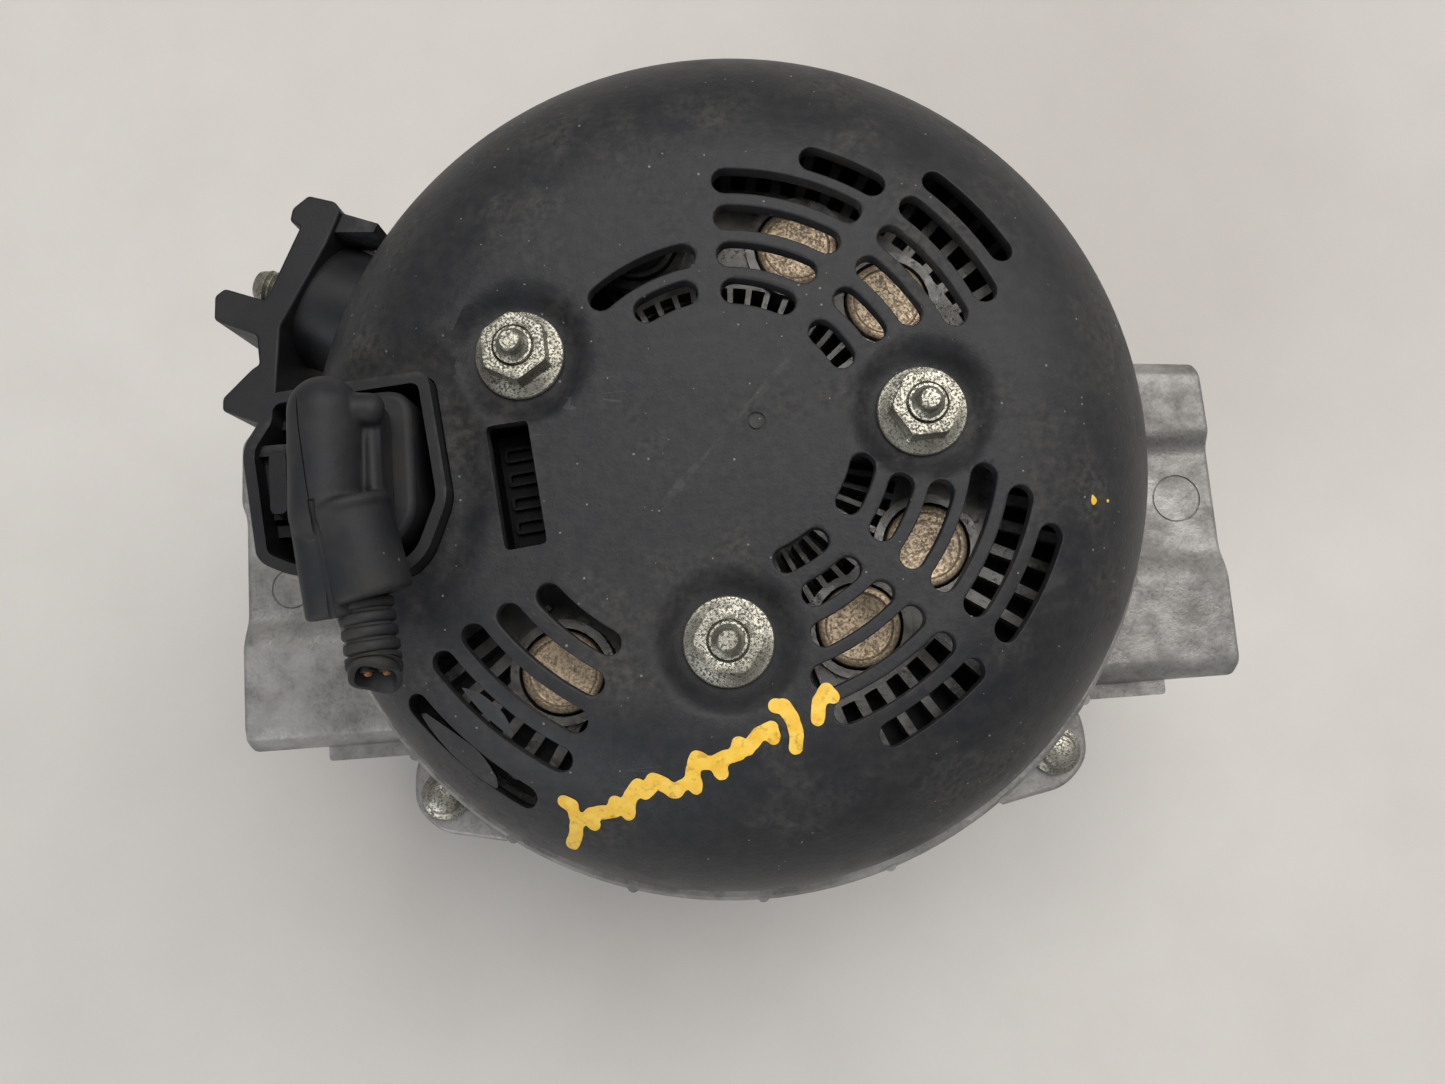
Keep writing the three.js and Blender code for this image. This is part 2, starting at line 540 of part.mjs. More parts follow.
// ---- Rotor ----
const shaft = lathe([
  [0, 0], [SHAFT.front - 1, 0], [SHAFT.front, 1], [SHAFT.front, 53], [SHAFT.middle, 53], [SHAFT.middle, 105],
  [SHAFT.rear, 105], [SHAFT.rear, 121], [SHAFT.tail, 121], [SHAFT.tail, SHAFT.end - 1], [SHAFT.tail - 1, SHAFT.end],
  [0, SHAFT.end],
], 20);
add(rotor, "rotor_shaft", shaft, METALS.steel);

// One pole: a six-lobed plate with a hub and six tapered fingers that reach over the field coil.
const POLE = { plate: [66, 76], hub: 85, finger: 101, outer: 48.6, inner: 40, root: 35 };
function poleClaw() {
  const bore = circle(SHAFT.middle + GAP, 24);
  const lobes = range(6).flatMap((i) => {
    const a = 60 * i;
    return [...arc(POLE.outer, a - 12, a + 12, 2), polar(POLE.root, a + 18), polar(POLE.root, a + 42)];
  });
  const plate = extrude(lobes, ...POLE.plate, [bore]);
  const hub = extrude(circle(24, 24), POLE.plate[0], POLE.hub - GAP / 2, [bore]);
  const finger = new THREE.BoxGeometry(POLE.outer - POLE.inner, 1, POLE.finger - POLE.plate[1] + 1);
  finger.translate((POLE.outer + POLE.inner) / 2, 0, (POLE.finger + POLE.plate[1] - 1) / 2);
  const place = finger.attributes.position;
  for (let i = 0; i < place.count; i += 1) {
    const atTip = place.getZ(i) > 90;
    const inner = place.getX(i) < 44;
    place.setY(i, Math.sign(place.getY(i)) * (atTip ? 4.2 : 9.6));
    if (atTip && inner) place.setX(i, POLE.inner + 4);
    if (!inner) place.setX(i, POLE.outer - (atTip ? 0.4 : 1.2));
  }
  const fingers = range(6).map((i) => around(solid(finger), 60 * i));
  return union(plate, hub, fingers);
}
const frontClaw = poleClaw();
const rearClaw = frontClaw.mirror([0, 0, 1]).translate([0, 0, 2 * POLE.hub]).rotate([0, 0, 30]);
add(rotor, "front_pole_claw", frontClaw, METALS.iron);
add(rotor, "rear_pole_claw", rearClaw, METALS.iron);
add(rotor, "field_coil", tube(24.4, 38.5, 77, 93, 24), METALS.copper);

// A fan: a thin plate with blades that lean back from the direction of turning.
function fan(count, plate, blades, lean) {
  const disc = tube(22, 44, ...plate, 20);
  const blade = around(box(-9, 9, -0.6, 0.6, ...blades), lean).translate([35.5, 0, 0]);
  return union(disc, range(count).map((i) => around(blade, (360 * i) / count)));
}
add(rotor, "front_fan", fan(9, [64.2, 65.7], [59.2, 64.4], 24), METALS.steel);
add(rotor, "rear_fan", fan(11, [104.3, 105.6], [105.4, 112.8], -24), METALS.steel);

add(rotor, "slip_ring_insulator", tube(SHAFT.tail + GAP, 7, 122.2, 138.8, 24), PLASTICS.amber);
BRUSH_Z.forEach((z, i) => {
  const ring = tube(7 + GAP, 8.3, z - 2.9, z + 2.9, 24);
  add(rotor, i ? "slip_ring_outer" : "slip_ring_inner", ring, METALS.copper);
});

const collar = tube(SHAFT.front + GAP, 13, PULLEY.width + GAP, FRONT_BEARING.bottom - GAP, 24);
add(rotor, "shaft_collar", collar, METALS.steel);

function drivePulley() {
  const first = 3.8;
  const grooves = range(PULLEY.ribs).flatMap((i) => {
    const z = first + PULLEY.pitch * i;
    return [[PULLEY.radius, z], [PULLEY.radius - 2.8, z + 1.6], [PULLEY.radius, z + 3.2]];
  });
  return lathe([
    [PULLEY.bore, 0], [PULLEY.radius, 0], ...grooves, [PULLEY.radius, PULLEY.width - 1],
    [PULLEY.radius - 1, PULLEY.width], [SHAFT.front + GAP, PULLEY.width], [SHAFT.front + GAP, PULLEY.floor],
    [PULLEY.bore, PULLEY.floor],
  ], 24);
}
add(rotor, "drive_pulley", drivePulley(), METALS.steel);
const pulleyNut = extrude(circle(13.8, 6), 3, PULLEY.floor - GAP, [circle(SHAFT.front + GAP, 24)]);
add(rotor, "pulley_nut", pulleyNut, METALS.zinc);

export default alternator;
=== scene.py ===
"""A car alternator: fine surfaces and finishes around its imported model. Lengths are in millimetres."""

import json
import math
import random

import bmesh
import bpy
from mathutils import Matrix, Vector


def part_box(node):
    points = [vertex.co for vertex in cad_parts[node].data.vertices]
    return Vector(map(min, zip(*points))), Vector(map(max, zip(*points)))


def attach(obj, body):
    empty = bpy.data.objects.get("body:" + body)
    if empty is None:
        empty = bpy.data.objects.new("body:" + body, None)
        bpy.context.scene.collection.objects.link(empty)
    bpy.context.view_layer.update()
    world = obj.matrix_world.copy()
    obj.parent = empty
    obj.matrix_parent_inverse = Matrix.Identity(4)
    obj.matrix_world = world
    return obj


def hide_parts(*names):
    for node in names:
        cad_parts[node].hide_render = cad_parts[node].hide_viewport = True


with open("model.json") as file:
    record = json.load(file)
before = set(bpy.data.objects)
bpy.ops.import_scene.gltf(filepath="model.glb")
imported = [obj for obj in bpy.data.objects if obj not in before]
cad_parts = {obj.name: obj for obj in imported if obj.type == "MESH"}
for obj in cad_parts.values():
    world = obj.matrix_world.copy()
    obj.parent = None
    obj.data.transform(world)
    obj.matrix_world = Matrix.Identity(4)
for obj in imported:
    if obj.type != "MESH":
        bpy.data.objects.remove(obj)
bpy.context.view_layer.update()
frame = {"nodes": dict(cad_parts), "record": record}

MM = 0.001
HOUSING, ROTOR = "housing", "rotor"


# ---- Places taken from the frame ----
def span(node):
    low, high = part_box(node)
    return Vector(low) / MM, Vector(high) / MM


def heights(node):
    low, high = span(node)
    return low.z, high.z


def centre(node):
    low, high = span(node)
    return (low + high) / 2


def polar(radius, angle, z=0.0):
    turn = math.radians(angle)
    return Vector((radius * math.cos(turn), radius * math.sin(turn), z))


SKIRT, TOP = heights("rear_cover")
SHOULDER = TOP - 31.0
FLAT_RADIUS = 38.0
DOME_RADIUS = 64.6
SKIN = 2.5
NUT_SEAT = span("cover_nut_1")[0].z - 0.3
STUDS = [centre(f"cover_stud_{i}") for i in (1, 2, 3)]
DIODES = [centre(f"diode_{i}") for i in range(1, 7)]
BOLTS = [centre(f"through_bolt_{i}") for i in range(1, 5)]
FRAME_RADIUS, CORE_SEAT = 67.8, 66.3
CORE_LOW, CORE_HIGH = span("stator_core")


# ---- Mesh helpers ----
def tidy(bm, gap=1e-4):
    bmesh.ops.remove_doubles(bm, verts=bm.verts, dist=gap)
    bmesh.ops.recalc_face_normals(bm, faces=bm.faces)
    return bm


def lathe(profile, steps=96, ring=True):
    """Spins [radius, z] points about Z. A ring profile closes on itself; the other kind ends on the axis."""
    bm = bmesh.new()
    verts = [bm.verts.new((r, 0, z)) for r, z in profile]
    pairs = list(zip(verts, verts[1:]))
    if ring:
        pairs.append((verts[-1], verts[0]))
    edges = [bm.edges.new(pair) for pair in pairs]
    bmesh.ops.spin(
        bm, geom=verts + edges, cent=(0, 0, 0), axis=(0, 0, 1), angle=math.tau, steps=steps, use_merge=True
    )
    return tidy(bm)


def prism(outline, low, high):
    """An outline of [x, y] points pulled up from low to high."""
    bm = bmesh.new()
    face = bm.faces.new([bm.verts.new((p[0], p[1], low)) for p in outline])
    pulled = bmesh.ops.extrude_face_region(bm, geom=[face])["geom"]
    top = [v for v in pulled if isinstance(v, bmesh.types.BMVert)]
    bmesh.ops.translate(bm, verts=top, vec=(0, 0, high - low))
    return tidy(bm)


def loft(rings):
    """Joins rings of points, one after another, and closes both ends."""
    bm = bmesh.new()
    loops = []
    for ring in rings:
        verts = [bm.verts.new(p) for p in ring]
        loops.append((verts, [bm.edges.new((a, b)) for a, b in zip(verts, verts[1:] + verts[:1])]))
    for (_, lower), (_, upper) in zip(loops, loops[1:]):
        bmesh.ops.bridge_loops(bm, edges=lower + upper)
    bm.faces.new(loops[0][0])
    bm.faces.new(loops[-1][0])
    return tidy(bm)


def moved(bm, *, turn=None, at=(0, 0, 0), scale=(1, 1, 1)):
    matrix = Matrix.Translation(at) @ (turn or Matrix()).to_4x4() @ Matrix.Diagonal((*scale, 1))
    bmesh.ops.transform(bm, matrix=matrix, verts=bm.verts)
    return bm


def about(axis, degrees):
    return Matrix.Rotation(math.radians(degrees), 4, axis)


ALONG_Y = about("X", -90)


def joined(parts):
    """Puts several bmeshes side by side in one."""
    whole = bmesh.new()
    for part in parts:
        mesh = bpy.data.meshes.new("part")
        part.to_mesh(mesh)
        whole.from_mesh(mesh)
        bpy.data.meshes.remove(mesh)
        part.free()
    return whole


def cylinder(radius, low, high, steps=32):
    return lathe([(0, low), (radius, low), (radius, high), (0, high)], steps, ring=False)


def tube(inner, outer, low, high, steps=48):
    return lathe([(inner, low), (outer, low), (outer, high), (inner, high)], steps)


def rod(radius, low, high, at, steps=32):
    return moved(cylinder(radius, low, high, steps), at=(at.x, at.y, 0))


def object_from(bm, name):
    mesh = bpy.data.meshes.new(name)
    bm.to_mesh(mesh)
    bm.free()
    thing = bpy.data.objects.new(name, mesh)
    bpy.context.scene.collection.objects.link(thing)
    return thing


def baked(thing):
    """The object's mesh with its modifiers applied, as a bmesh. The object is removed."""
    graph = bpy.context.evaluated_depsgraph_get()
    mesh = bpy.data.meshes.new_from_object(thing.evaluated_get(graph))
    bm = bmesh.new()
    bm.from_mesh(mesh)
    bpy.data.meshes.remove(mesh)
    bpy.data.meshes.remove(thing.data)
    return bm


def boolean(body, tool, operation):
    target, cutter = object_from(body, "target"), object_from(tool, "cutter")
    step = target.modifiers.new("boolean", "BOOLEAN")
    step.operation, step.solver, step.object = operation, "EXACT", cutter
    result = baked(target)
    bpy.data.meshes.remove(cutter.data)
    bmesh.ops.dissolve_degenerate(result, edges=result.edges, dist=1e-4)
    bmesh.ops.remove_doubles(result, verts=result.verts, dist=2e-4)
    return result


def carve(body, *tools):
    for tool in tools:
        body = boolean(body, tool, "DIFFERENCE")
    return body


def fuse(body, *tools):
    for tool in tools:
        body = boolean(body, tool, "UNION")
    return body


def soften(bm, width, segments=2, sharper_than=35.0, where=None):
    """Rounds the edges that are sharper than an angle."""
    limit = math.radians(sharper_than)
    edges = [e for e in bm.edges if e.is_manifold and e.calc_face_angle(0) > limit]
    if where:
        edges = [e for e in edges if all(where(v.co) for v in e.verts)]
    bmesh.ops.bevel(
        bm, geom=edges, offset=width, offset_type="OFFSET", segments=segments, profile=0.5, affect="EDGES",
        clamp_overlap=True, material=-1,
    )
    return bm


def remelt(bm, voxel, smoothing=4):
    """Melts overlapping solids into one skin with soft joins."""
    thing = object_from(bm, "melt")
    remesh = thing.modifiers.new("remesh", "REMESH")
    remesh.mode, remesh.voxel_size = "VOXEL", voxel
    smooth = thing.modifiers.new("smooth", "SMOOTH")
    smooth.factor, smooth.iterations = 0.5, smoothing
    return baked(thing)


def piece(name, bm, material, slot, *stands_for, body=HOUSING, crease=32.0):
    """Finishes a bmesh as a visible piece that rides on a body and stands for its CAD nodes."""
    tidy(bm)
    bmesh.ops.scale(bm, vec=(MM, MM, MM), verts=bm.verts)
    for face in bm.faces:
        face.smooth = True
    for edge in bm.edges:
        edge.smooth = edge.calc_face_angle(0) < math.radians(crease)
    thing = object_from(bm, name)
    thing.data.materials.append(material)
    normals = thing.modifiers.new("even normals", "WEIGHTED_NORMAL")
    normals.keep_sharp = True
    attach(thing, body)
    if stands_for:
        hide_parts(*stands_for)
    return thing


# ---- Outlines ----
def flat(points):
    """[x, y] points as vectors."""
    return [Vector((x, y, 0)) for x, y in points]


def arc(radius, start, end, count):
    return [polar(radius, start + (end - start) * i / count) for i in range(count + 1)]


def band(inner, outer, start, end, count=24):
    return arc(outer, start, end, count) + arc(inner, end, start, count)


def slot_outline(radius, start, end, half):
    """A curved slot with round ends."""
    def cap(angle, turn):
        return [polar(radius, angle) + polar(half, angle + turn + 180 * i / 8) for i in range(1, 8)]

    outer, inner = arc(radius + half, start, end, 12), arc(radius - half, end, start, 12)
    return outer + cap(end, 0) + inner + cap(start, 180)


def corners_of(points):
    """Each corner of an outline with the ones before and after it."""
    return zip(points[-1:] + points[:-1], points, points[1:] + points[:1])


def offset_outline(points, distance):
    """An outline moved outwards along its corner bisectors. The points run anticlockwise."""
    out = []
    for before, here, after in corners_of(points):
        ahead, behind = (after - here).normalized(), (here - before).normalized()
        out_a, out_b = Vector((ahead.y, -ahead.x, 0)), Vector((behind.y, -behind.x, 0))
        bisector = (out_a + out_b).normalized()
        out.append(here + bisector * distance / max(0.35, bisector.dot(out_a)))
    return out


def rounded(points, radius, count=6):
    """An outline with its corners rounded."""
    out = []
    for before, here, after in corners_of(points):
        to_before, to_after = before - here, after - here
        reach = min(radius, to_before.length * 0.45, to_after.length * 0.45)
        start, end = here + to_before.normalized() * reach, here + to_after.normalized() * reach
        for i in range(count + 1):
            t = i / count
            out.append(start * (1 - t) ** 2 + here * 2 * t * (1 - t) + end * t**2)
    return out


# ---- Node helpers ----
def add_node(tree, kind, inputs=None, **settings):
    node = tree.nodes.new(kind)
    for key, value in settings.items():
        setattr(node, key, value)
    for key, value in (inputs or {}).items():
        if isinstance(value, bpy.types.NodeSocket):
            tree.links.new(value, node.inputs[key])
        else:
            node.inputs[key].default_value = value
    return node


def new_group(name, inputs, output):
    """An empty shader group with number inputs and one output. Returns the tree and its input sockets."""
    tree = bpy.data.node_groups.new(name, "ShaderNodeTree")
    for label, value in inputs.items():
        socket = tree.interface.new_socket(label, in_out="INPUT", socket_type="NodeSocketFloat")
        socket.default_value = value
    tree.interface.new_socket(output, in_out="OUTPUT", socket_type="NodeSocketFloat")
    entry = tree.nodes.new("NodeGroupInput")
    tree.nodes.new("NodeGroupOutput").name = "out"
    return tree, entry.outputs


def put_out(tree, socket):
    tree.links.new(socket, tree.nodes["out"].inputs[0])


def maths(tree, operation, a, b=0.0, clamp=False):
    return add_node(tree, "ShaderNodeMath", {0: a, 1: b}, operation=operation, use_clamp=clamp).outputs[0]


def between(tree, value, low, high):
    """Turns a value into 0 at low and 1 at high, with soft ends."""
    node = add_node(
        tree, "ShaderNodeMapRange", {"Value": value, "From Min": low, "From Max": high},
        interpolation_type="SMOOTHSTEP",
    )
    return node.outputs["Result"]


def object_place(tree):
    return add_node(tree, "ShaderNodeTexCoord").outputs["Object"]


def noise_of(tree, scale, detail=3.0, roughness=0.55):
    inputs = {"Vector": object_place(tree), "Scale": scale, "Detail": detail, "Roughness": roughness}
    return add_node(tree, "ShaderNodeTexNoise", inputs).outputs["Fac"]


def make_grain():
    """Fine moulded or cast grain. Scale counts grains to the metre."""
    tree, given = new_group("grain", {"Scale": 2000.0, "Roughness": 0.6}, "Height")
    coarse = noise_of(tree, given["Scale"], 4.0, given["Roughness"])
    fine = noise_of(tree, maths(tree, "MULTIPLY", given["Scale"], 2.7), 2.0)
    coarse, fine = maths(tree, "MULTIPLY", coarse, 0.7), maths(tree, "MULTIPLY", fine, 0.3)
    put_out(tree, maths(tree, "ADD", coarse, fine))
    return tree


def make_patches():
    """Large soft patches, from 0 to 1. Share is how much of the surface they take."""
    tree, given = new_group("patches", {"Scale": 40.0, "Share": 0.5, "Softness": 0.15}, "Mask")
    cloud = noise_of(tree, given["Scale"], 5.0, 0.6)
    middle = maths(tree, "SUBTRACT", 0.68, maths(tree, "MULTIPLY", given["Share"], 0.36))
    low = maths(tree, "SUBTRACT", middle, given["Softness"])
    high = maths(tree, "ADD", middle, given["Softness"])
    put_out(tree, between(tree, cloud, low, high))
    return tree


def make_speckle():
    """Small scattered specks of uneven size."""
    tree, given = new_group("speckle", {"Scale": 400.0, "Size": 0.2, "Share": 0.1}, "Mask")
    cells = add_node(tree, "ShaderNodeTexVoronoi", {"Vector": object_place(tree), "Scale": given["Scale"]})
    chosen = add_node(tree, "ShaderNodeSeparateColor", {"Color": cells.outputs["Color"]}).outputs[0]
    reach = maths(tree, "MULTIPLY", given["Size"], maths(tree, "DIVIDE", chosen, given["Share"]))
    near = maths(tree, "LESS_THAN", cells.outputs["Distance"], maths(tree, "SUBTRACT", given["Size"], reach))
    put_out(tree, near)
    return tree


def make_wear_and_highlight():
    """Bright where edges stand proud and dirt stays off, broken up by noise; along the window bars and the
    sink's fins it is a painted highlight.
    """
    tree, given = new_group("edge wear", {"Amount": 0.5, "Scale": 300.0}, "Mask")
    point = add_node(tree, "ShaderNodeNewGeometry").outputs["Pointiness"]
    edge = between(tree, point, 0.52, 0.6)
    broken = between(tree, noise_of(tree, given["Scale"], 4.0), 0.35, 0.65)
    put_out(tree, maths(tree, "MULTIPLY", maths(tree, "MULTIPLY", edge, broken), given["Amount"]))
    return tree


def make_dirt_and_shade():
    """Dirt that gathers in corners and under ledges, and painted shade in the same hollows on the plated and
    finned metals.
    """
    tree, given = new_group("dirt_and_shade", {"Amount": 0.6, "Scale": 120.0}, "Mask")
    point = add_node(tree, "ShaderNodeNewGeometry").outputs["Pointiness"]
    hollow = between(tree, point, 0.49, 0.42)
    cloud = between(tree, noise_of(tree, given["Scale"], 5.0), 0.4, 0.7)
    both = maths(tree, "MAXIMUM", hollow, maths(tree, "MULTIPLY", cloud, 0.6))
    put_out(tree, maths(tree, "MULTIPLY", both, given["Amount"], clamp=True))
    return tree


def make_scratches():
    """Sparse fine scratches that run at one angle, in degrees."""
    tree, given = new_group("scratches", {"Angle": 20.0, "Scale": 40.0, "Share": 0.3}, "Mask")
    angle = maths(tree, "RADIANS", given["Angle"])
    turn = add_node(tree, "ShaderNodeCombineXYZ", {"Z": angle}).outputs[0]
    turned = add_node(tree, "ShaderNodeMapping", {"Vector": object_place(tree), "Rotation": turn})
    turned.inputs["Scale"].default_value = (1.0, 14.0, 4.0)
    lines = add_node(
        tree, "ShaderNodeTexVoronoi", {"Vector": turned.outputs[0], "Scale": given["Scale"]},
        feature="DISTANCE_TO_EDGE",
    )
    thin = maths(tree, "LESS_THAN", lines.outputs["Distance"], 0.012)
    where = noise_of(tree, 55.0, 3.0)
    reach = maths(tree, "ADD", 0.3, maths(tree, "MULTIPLY", given["Share"], 0.3))
    kept = maths(tree, "LESS_THAN", where, reach)
    put_out(tree, maths(tree, "MULTIPLY", thin, kept))
    return tree


GRAIN, PATCHES, SPECKLE = make_grain(), make_patches(), make_speckle()
WEAR_AND_HIGHLIGHT, DIRT_AND_SHADE, SCRATCHES = make_wear_and_highlight(), make_dirt_and_shade(), make_scratches()


class Finish:
    """One material under construction: a Principled shader and the nodes that feed it."""

    def __init__(self, name, roughness=0.5, metallic=0.0, specular=0.5):
        self.material = bpy.data.materials.new(name)
        self.material.use_nodes = True
        self.tree = self.material.node_tree
        self.shader = self.tree.nodes["Principled BSDF"]
        self.colour = None
        given = {"Roughness": roughness, "Metallic": metallic, "Specular IOR Level": specular}
        for socket, value in given.items():
            self.shader.inputs[socket].default_value = value

    def group(self, group, **inputs):
        node = self.tree.nodes.new("ShaderNodeGroup")
        node.node_tree = group
        for key, value in inputs.items():
            node.inputs[key].default_value = value
        return node.outputs[0]

    def patches(self, scale, share=0.5, softness=0.2):
        return self.group(PATCHES, Scale=scale, Share=share, Softness=softness)

    def speckle(self, scale, size, share):
        return self.group(SPECKLE, Scale=scale, Size=size, Share=share)

    def dirt_and_shade(self, amount, scale):
        return self.group(DIRT_AND_SHADE, Amount=amount, Scale=scale)

    def wear_and_highlight(self, amount, scale):
        return self.group(WEAR_AND_HIGHLIGHT, Amount=amount, Scale=scale)

    def grain(self, scale, depth):
        """A bump layer of grain: its height, and its depth in mm."""
        return self.group(GRAIN, Scale=scale), depth

    def mix(self, mask, a, b):
        """Colour a where the mask is 0 and b where it is 1."""
        node = add_node(self.tree, "ShaderNodeMix", data_type="RGBA")
        self.tree.links.new(mask, node.inputs["Factor"])
        for socket, value in ((node.inputs[6], a), (node.inputs[7], b)):
            if isinstance(value, bpy.types.NodeSocket):
                self.tree.links.new(value, socket)
            else:
                socket.default_value = (*value, 1.0)
        return node.outputs[2]

    def value(self, mask, low, high):
        node = add_node(self.tree, "ShaderNodeMapRange", {"Value": mask, "To Min": low, "To Max": high})
        return node.outputs["Result"]

    def times(self, mask, factor):
        return maths(self.tree, "MULTIPLY", mask, factor)

    def ground(self, mask, a, b):
        self.colour = self.mix(mask, a, b)

    def lay(self, mask, colour, strength=1.0):
        """Lays a colour over the finish so far, where the mask is."""
        if strength < 1:
            mask = self.times(mask, strength)
        self.colour = self.mix(mask, self.colour, colour)

    def feed(self, socket, value):
        self.tree.links.new(value, self.shader.inputs[socket])

    def bump(self, *layers):
        """Layers of (height, depth in mm), one on another."""
        normal = None
        for height, depth in layers:
            inputs = {"Height": height, "Strength": 1.0, "Distance": depth * MM}
            if normal:
                inputs["Normal"] = normal
            normal = add_node(self.tree, "ShaderNodeBump", inputs).outputs[0]
        self.feed("Normal", normal)

    def complete(self, rough_where, low, high, *layers):
        """Feeds the colour, a roughness between two values and the bump, and returns the material."""
        self.feed("Base Color", self.colour)
        self.feed("Roughness", self.value(rough_where, low, high))
        self.bump(*layers)
        return self.material


def cover_plastic():
    made = Finish("matt cover plastic", specular=0.24)
    cloud, mottle, film = made.patches(26, 0.5, 0.22), made.patches(520, 0.42), made.patches(70, 0.26, 0.14)
    made.ground(cloud, (0.0150, 0.0165, 0.0200), (0.0212, 0.0224, 0.0252))
    made.lay(mottle, (0.045, 0.044, 0.044), 0.35)
    made.lay(maths(made.tree, "MULTIPLY", film, made.patches(900)), (0.10, 0.092, 0.08), 0.55)
    # Pale dust, and fewer grains of yellow grit.
    made.lay(made.speckle(1050, 0.2, 0.12), (0.30, 0.295, 0.28), 0.55)
    made.lay(made.speckle(330, 0.075, 0.09), (0.40, 0.36, 0.27), 0.65)
    made.lay(made.group(SCRATCHES, Angle=24.0, Scale=30.0, Share=0.1), (0.12, 0.118, 0.115), 0.25)
    made.lay(made.dirt_and_shade(0.5, 60), (0.05, 0.043, 0.035), 0.3)
    made.lay(made.wear_and_highlight(0.4, 500), (0.07, 0.069, 0.067))
    return made.complete(film, 0.47, 0.68, (cloud, 0.03), (mottle, 0.02), made.grain(1300, 0.08))


def black_moulding():
    made = Finish("black moulding", specular=0.27)
    cloud = made.patches(110)
    made.ground(cloud, (0.0090, 0.0098, 0.0122), (0.0145, 0.0150, 0.0172))
    made.lay(made.dirt_and_shade(0.45, 160), (0.05, 0.044, 0.036), 0.4)
    made.lay(made.speckle(800, 0.15, 0.06), (0.2, 0.19, 0.17), 0.4)
    made.lay(made.wear_and_highlight(0.6, 420), (0.055, 0.056, 0.06))
    return made.complete(cloud, 0.42, 0.6, made.grain(1900, 0.03))


def painted_shade_black():
    # Near black that stands for the deep shade inside the window: painted shade, with a painted highlight
    # along the bars' edges.
    made = Finish("painted shade black", specular=0.08)
    cloud = made.patches(300)
    made.ground(cloud, (0.003, 0.003, 0.0032), (0.006, 0.006, 0.006))
    made.lay(made.wear_and_highlight(0.5, 600), (0.03, 0.03, 0.03))
    return made.complete(cloud, 0.4, 0.6, made.grain(1900, 0.03))


def boot_rubber():
    made = Finish("boot rubber", specular=0.25)
    cloud, dirt = made.patches(90, 0.5, 0.22), made.dirt_and_shade(0.62, 140)
    made.ground(cloud, (0.0138, 0.0150, 0.0182), (0.0212, 0.0222, 0.0252))
    made.lay(dirt, (0.050, 0.044, 0.035))
    made.lay(made.speckle(700, 0.16, 0.07), (0.20, 0.18, 0.145), 0.4)
    return made.complete(dirt, 0.52, 0.85, (cloud, 0.06), made.grain(2200, 0.025))


def cast_alloy():
    made = Finish("cast alloy")
    cloud, stain = made.patches(34, 0.5, 0.22), made.patches(210, 0.42, 0.16)
    mottle = made.patches(850, 0.5, 0.16)
    made.ground(cloud, (0.20, 0.195, 0.186), (0.295, 0.287, 0.277))
    made.lay(stain, (0.105, 0.098, 0.088), 0.42)
    made.lay(mottle, (0.30, 0.295, 0.285), 0.28)
    # Dark pores, bright flecks and rubbed places.
    made.lay(made.patches(1500, 0.3, 0.1), (0.055, 0.05, 0.044), 0.32)
    made.lay(made.speckle(700, 0.16, 0.08), (0.55, 0.54, 0.52), 0.5)
    made.lay(made.patches(95, 0.42, 0.1), (0.43, 0.42, 0.405), 0.46)
    made.lay(made.dirt_and_shade(0.8, 80), (0.065, 0.057, 0.047), 0.6)
    made.feed("Metallic", made.value(cloud, 0.2, 0.45))
    return made.complete(stain, 0.42, 0.66, (stain, 0.08), (mottle, 0.03), made.grain(1100, 0.14))


def plated(name, clean, dull, speck):
    """Zinc or phosphate over steel, speckled where the plating has gone."""
    made = Finish(name, metallic=0.8)
    pits = made.patches(3000, 0.40, 0.07)
    made.ground(made.patches(420), clean, dull)
    made.lay(pits, (0.05, 0.046, 0.038), speck)
    # Darker round the hex base and in other hollows: painted shade on the zinc and bright steel, brown dirt
    # on the black phosphate.
    made.lay(made.dirt_and_shade(0.8, 400), (0.06, 0.05, 0.036), 0.75)
    made.feed("Metallic", made.value(pits, 0.9, 0.45))
    return made.complete(pits, 0.36, 0.6, (pits, 0.012), made.grain(3000, 0.01))


def laminated_steel():
    """A stack of sheets, each half a millimetre thick: fine rings along the shaft."""
    made = Finish("laminated steel", metallic=0.7)
    along = add_node(made.tree, "ShaderNodeSeparateXYZ", {0: object_place(made.tree)}).outputs["Z"]
    sheets = made.times(maths(made.tree, "PINGPONG", along, 0.0005), 2000.0)
    cloud = made.patches(70)
    made.ground(cloud, (0.13, 0.125, 0.12), (0.21, 0.20, 0.19))
    made.lay(made.patches(160, 0.3, 0.1), (0.15, 0.075, 0.035), 0.6)
    return made.complete(cloud, 0.42, 0.62, (sheets, 0.08), made.grain(1500, 0.03))


def wound_copper():
    """Varnished strands of wire."""
    made = Finish("varnished copper", metallic=0.35)
    strands, dirt = noise_of(made.tree, 900.0, 2.0, 0.4), made.dirt_and_shade(0.6, 200)
    made.ground(strands, (0.22, 0.085, 0.03), (0.42, 0.17, 0.06))
    made.lay(dirt, (0.05, 0.035, 0.025))
    return made.complete(dirt, 0.3, 0.6, (strands, 0.3))


def tarnished_copper():
    made = Finish("tarnished copper", metallic=0.6)
    pits = made.patches(2600, 0.44, 0.1)
    made.ground(made.patches(260, 0.5, 0.22), (0.80, 0.635, 0.43), (0.52, 0.415, 0.295))
    made.lay(pits, (0.085, 0.065, 0.045), 0.55)
    made.lay(made.speckle(750, 0.3, 0.25), (0.12, 0.095, 0.07), 0.35)
    made.lay(made.speckle(1900, 0.3, 0.35), (0.95, 0.80, 0.58), 0.6)
    return made.complete(pits, 0.40, 0.62, (pits, 0.015), made.grain(2200, 0.02))


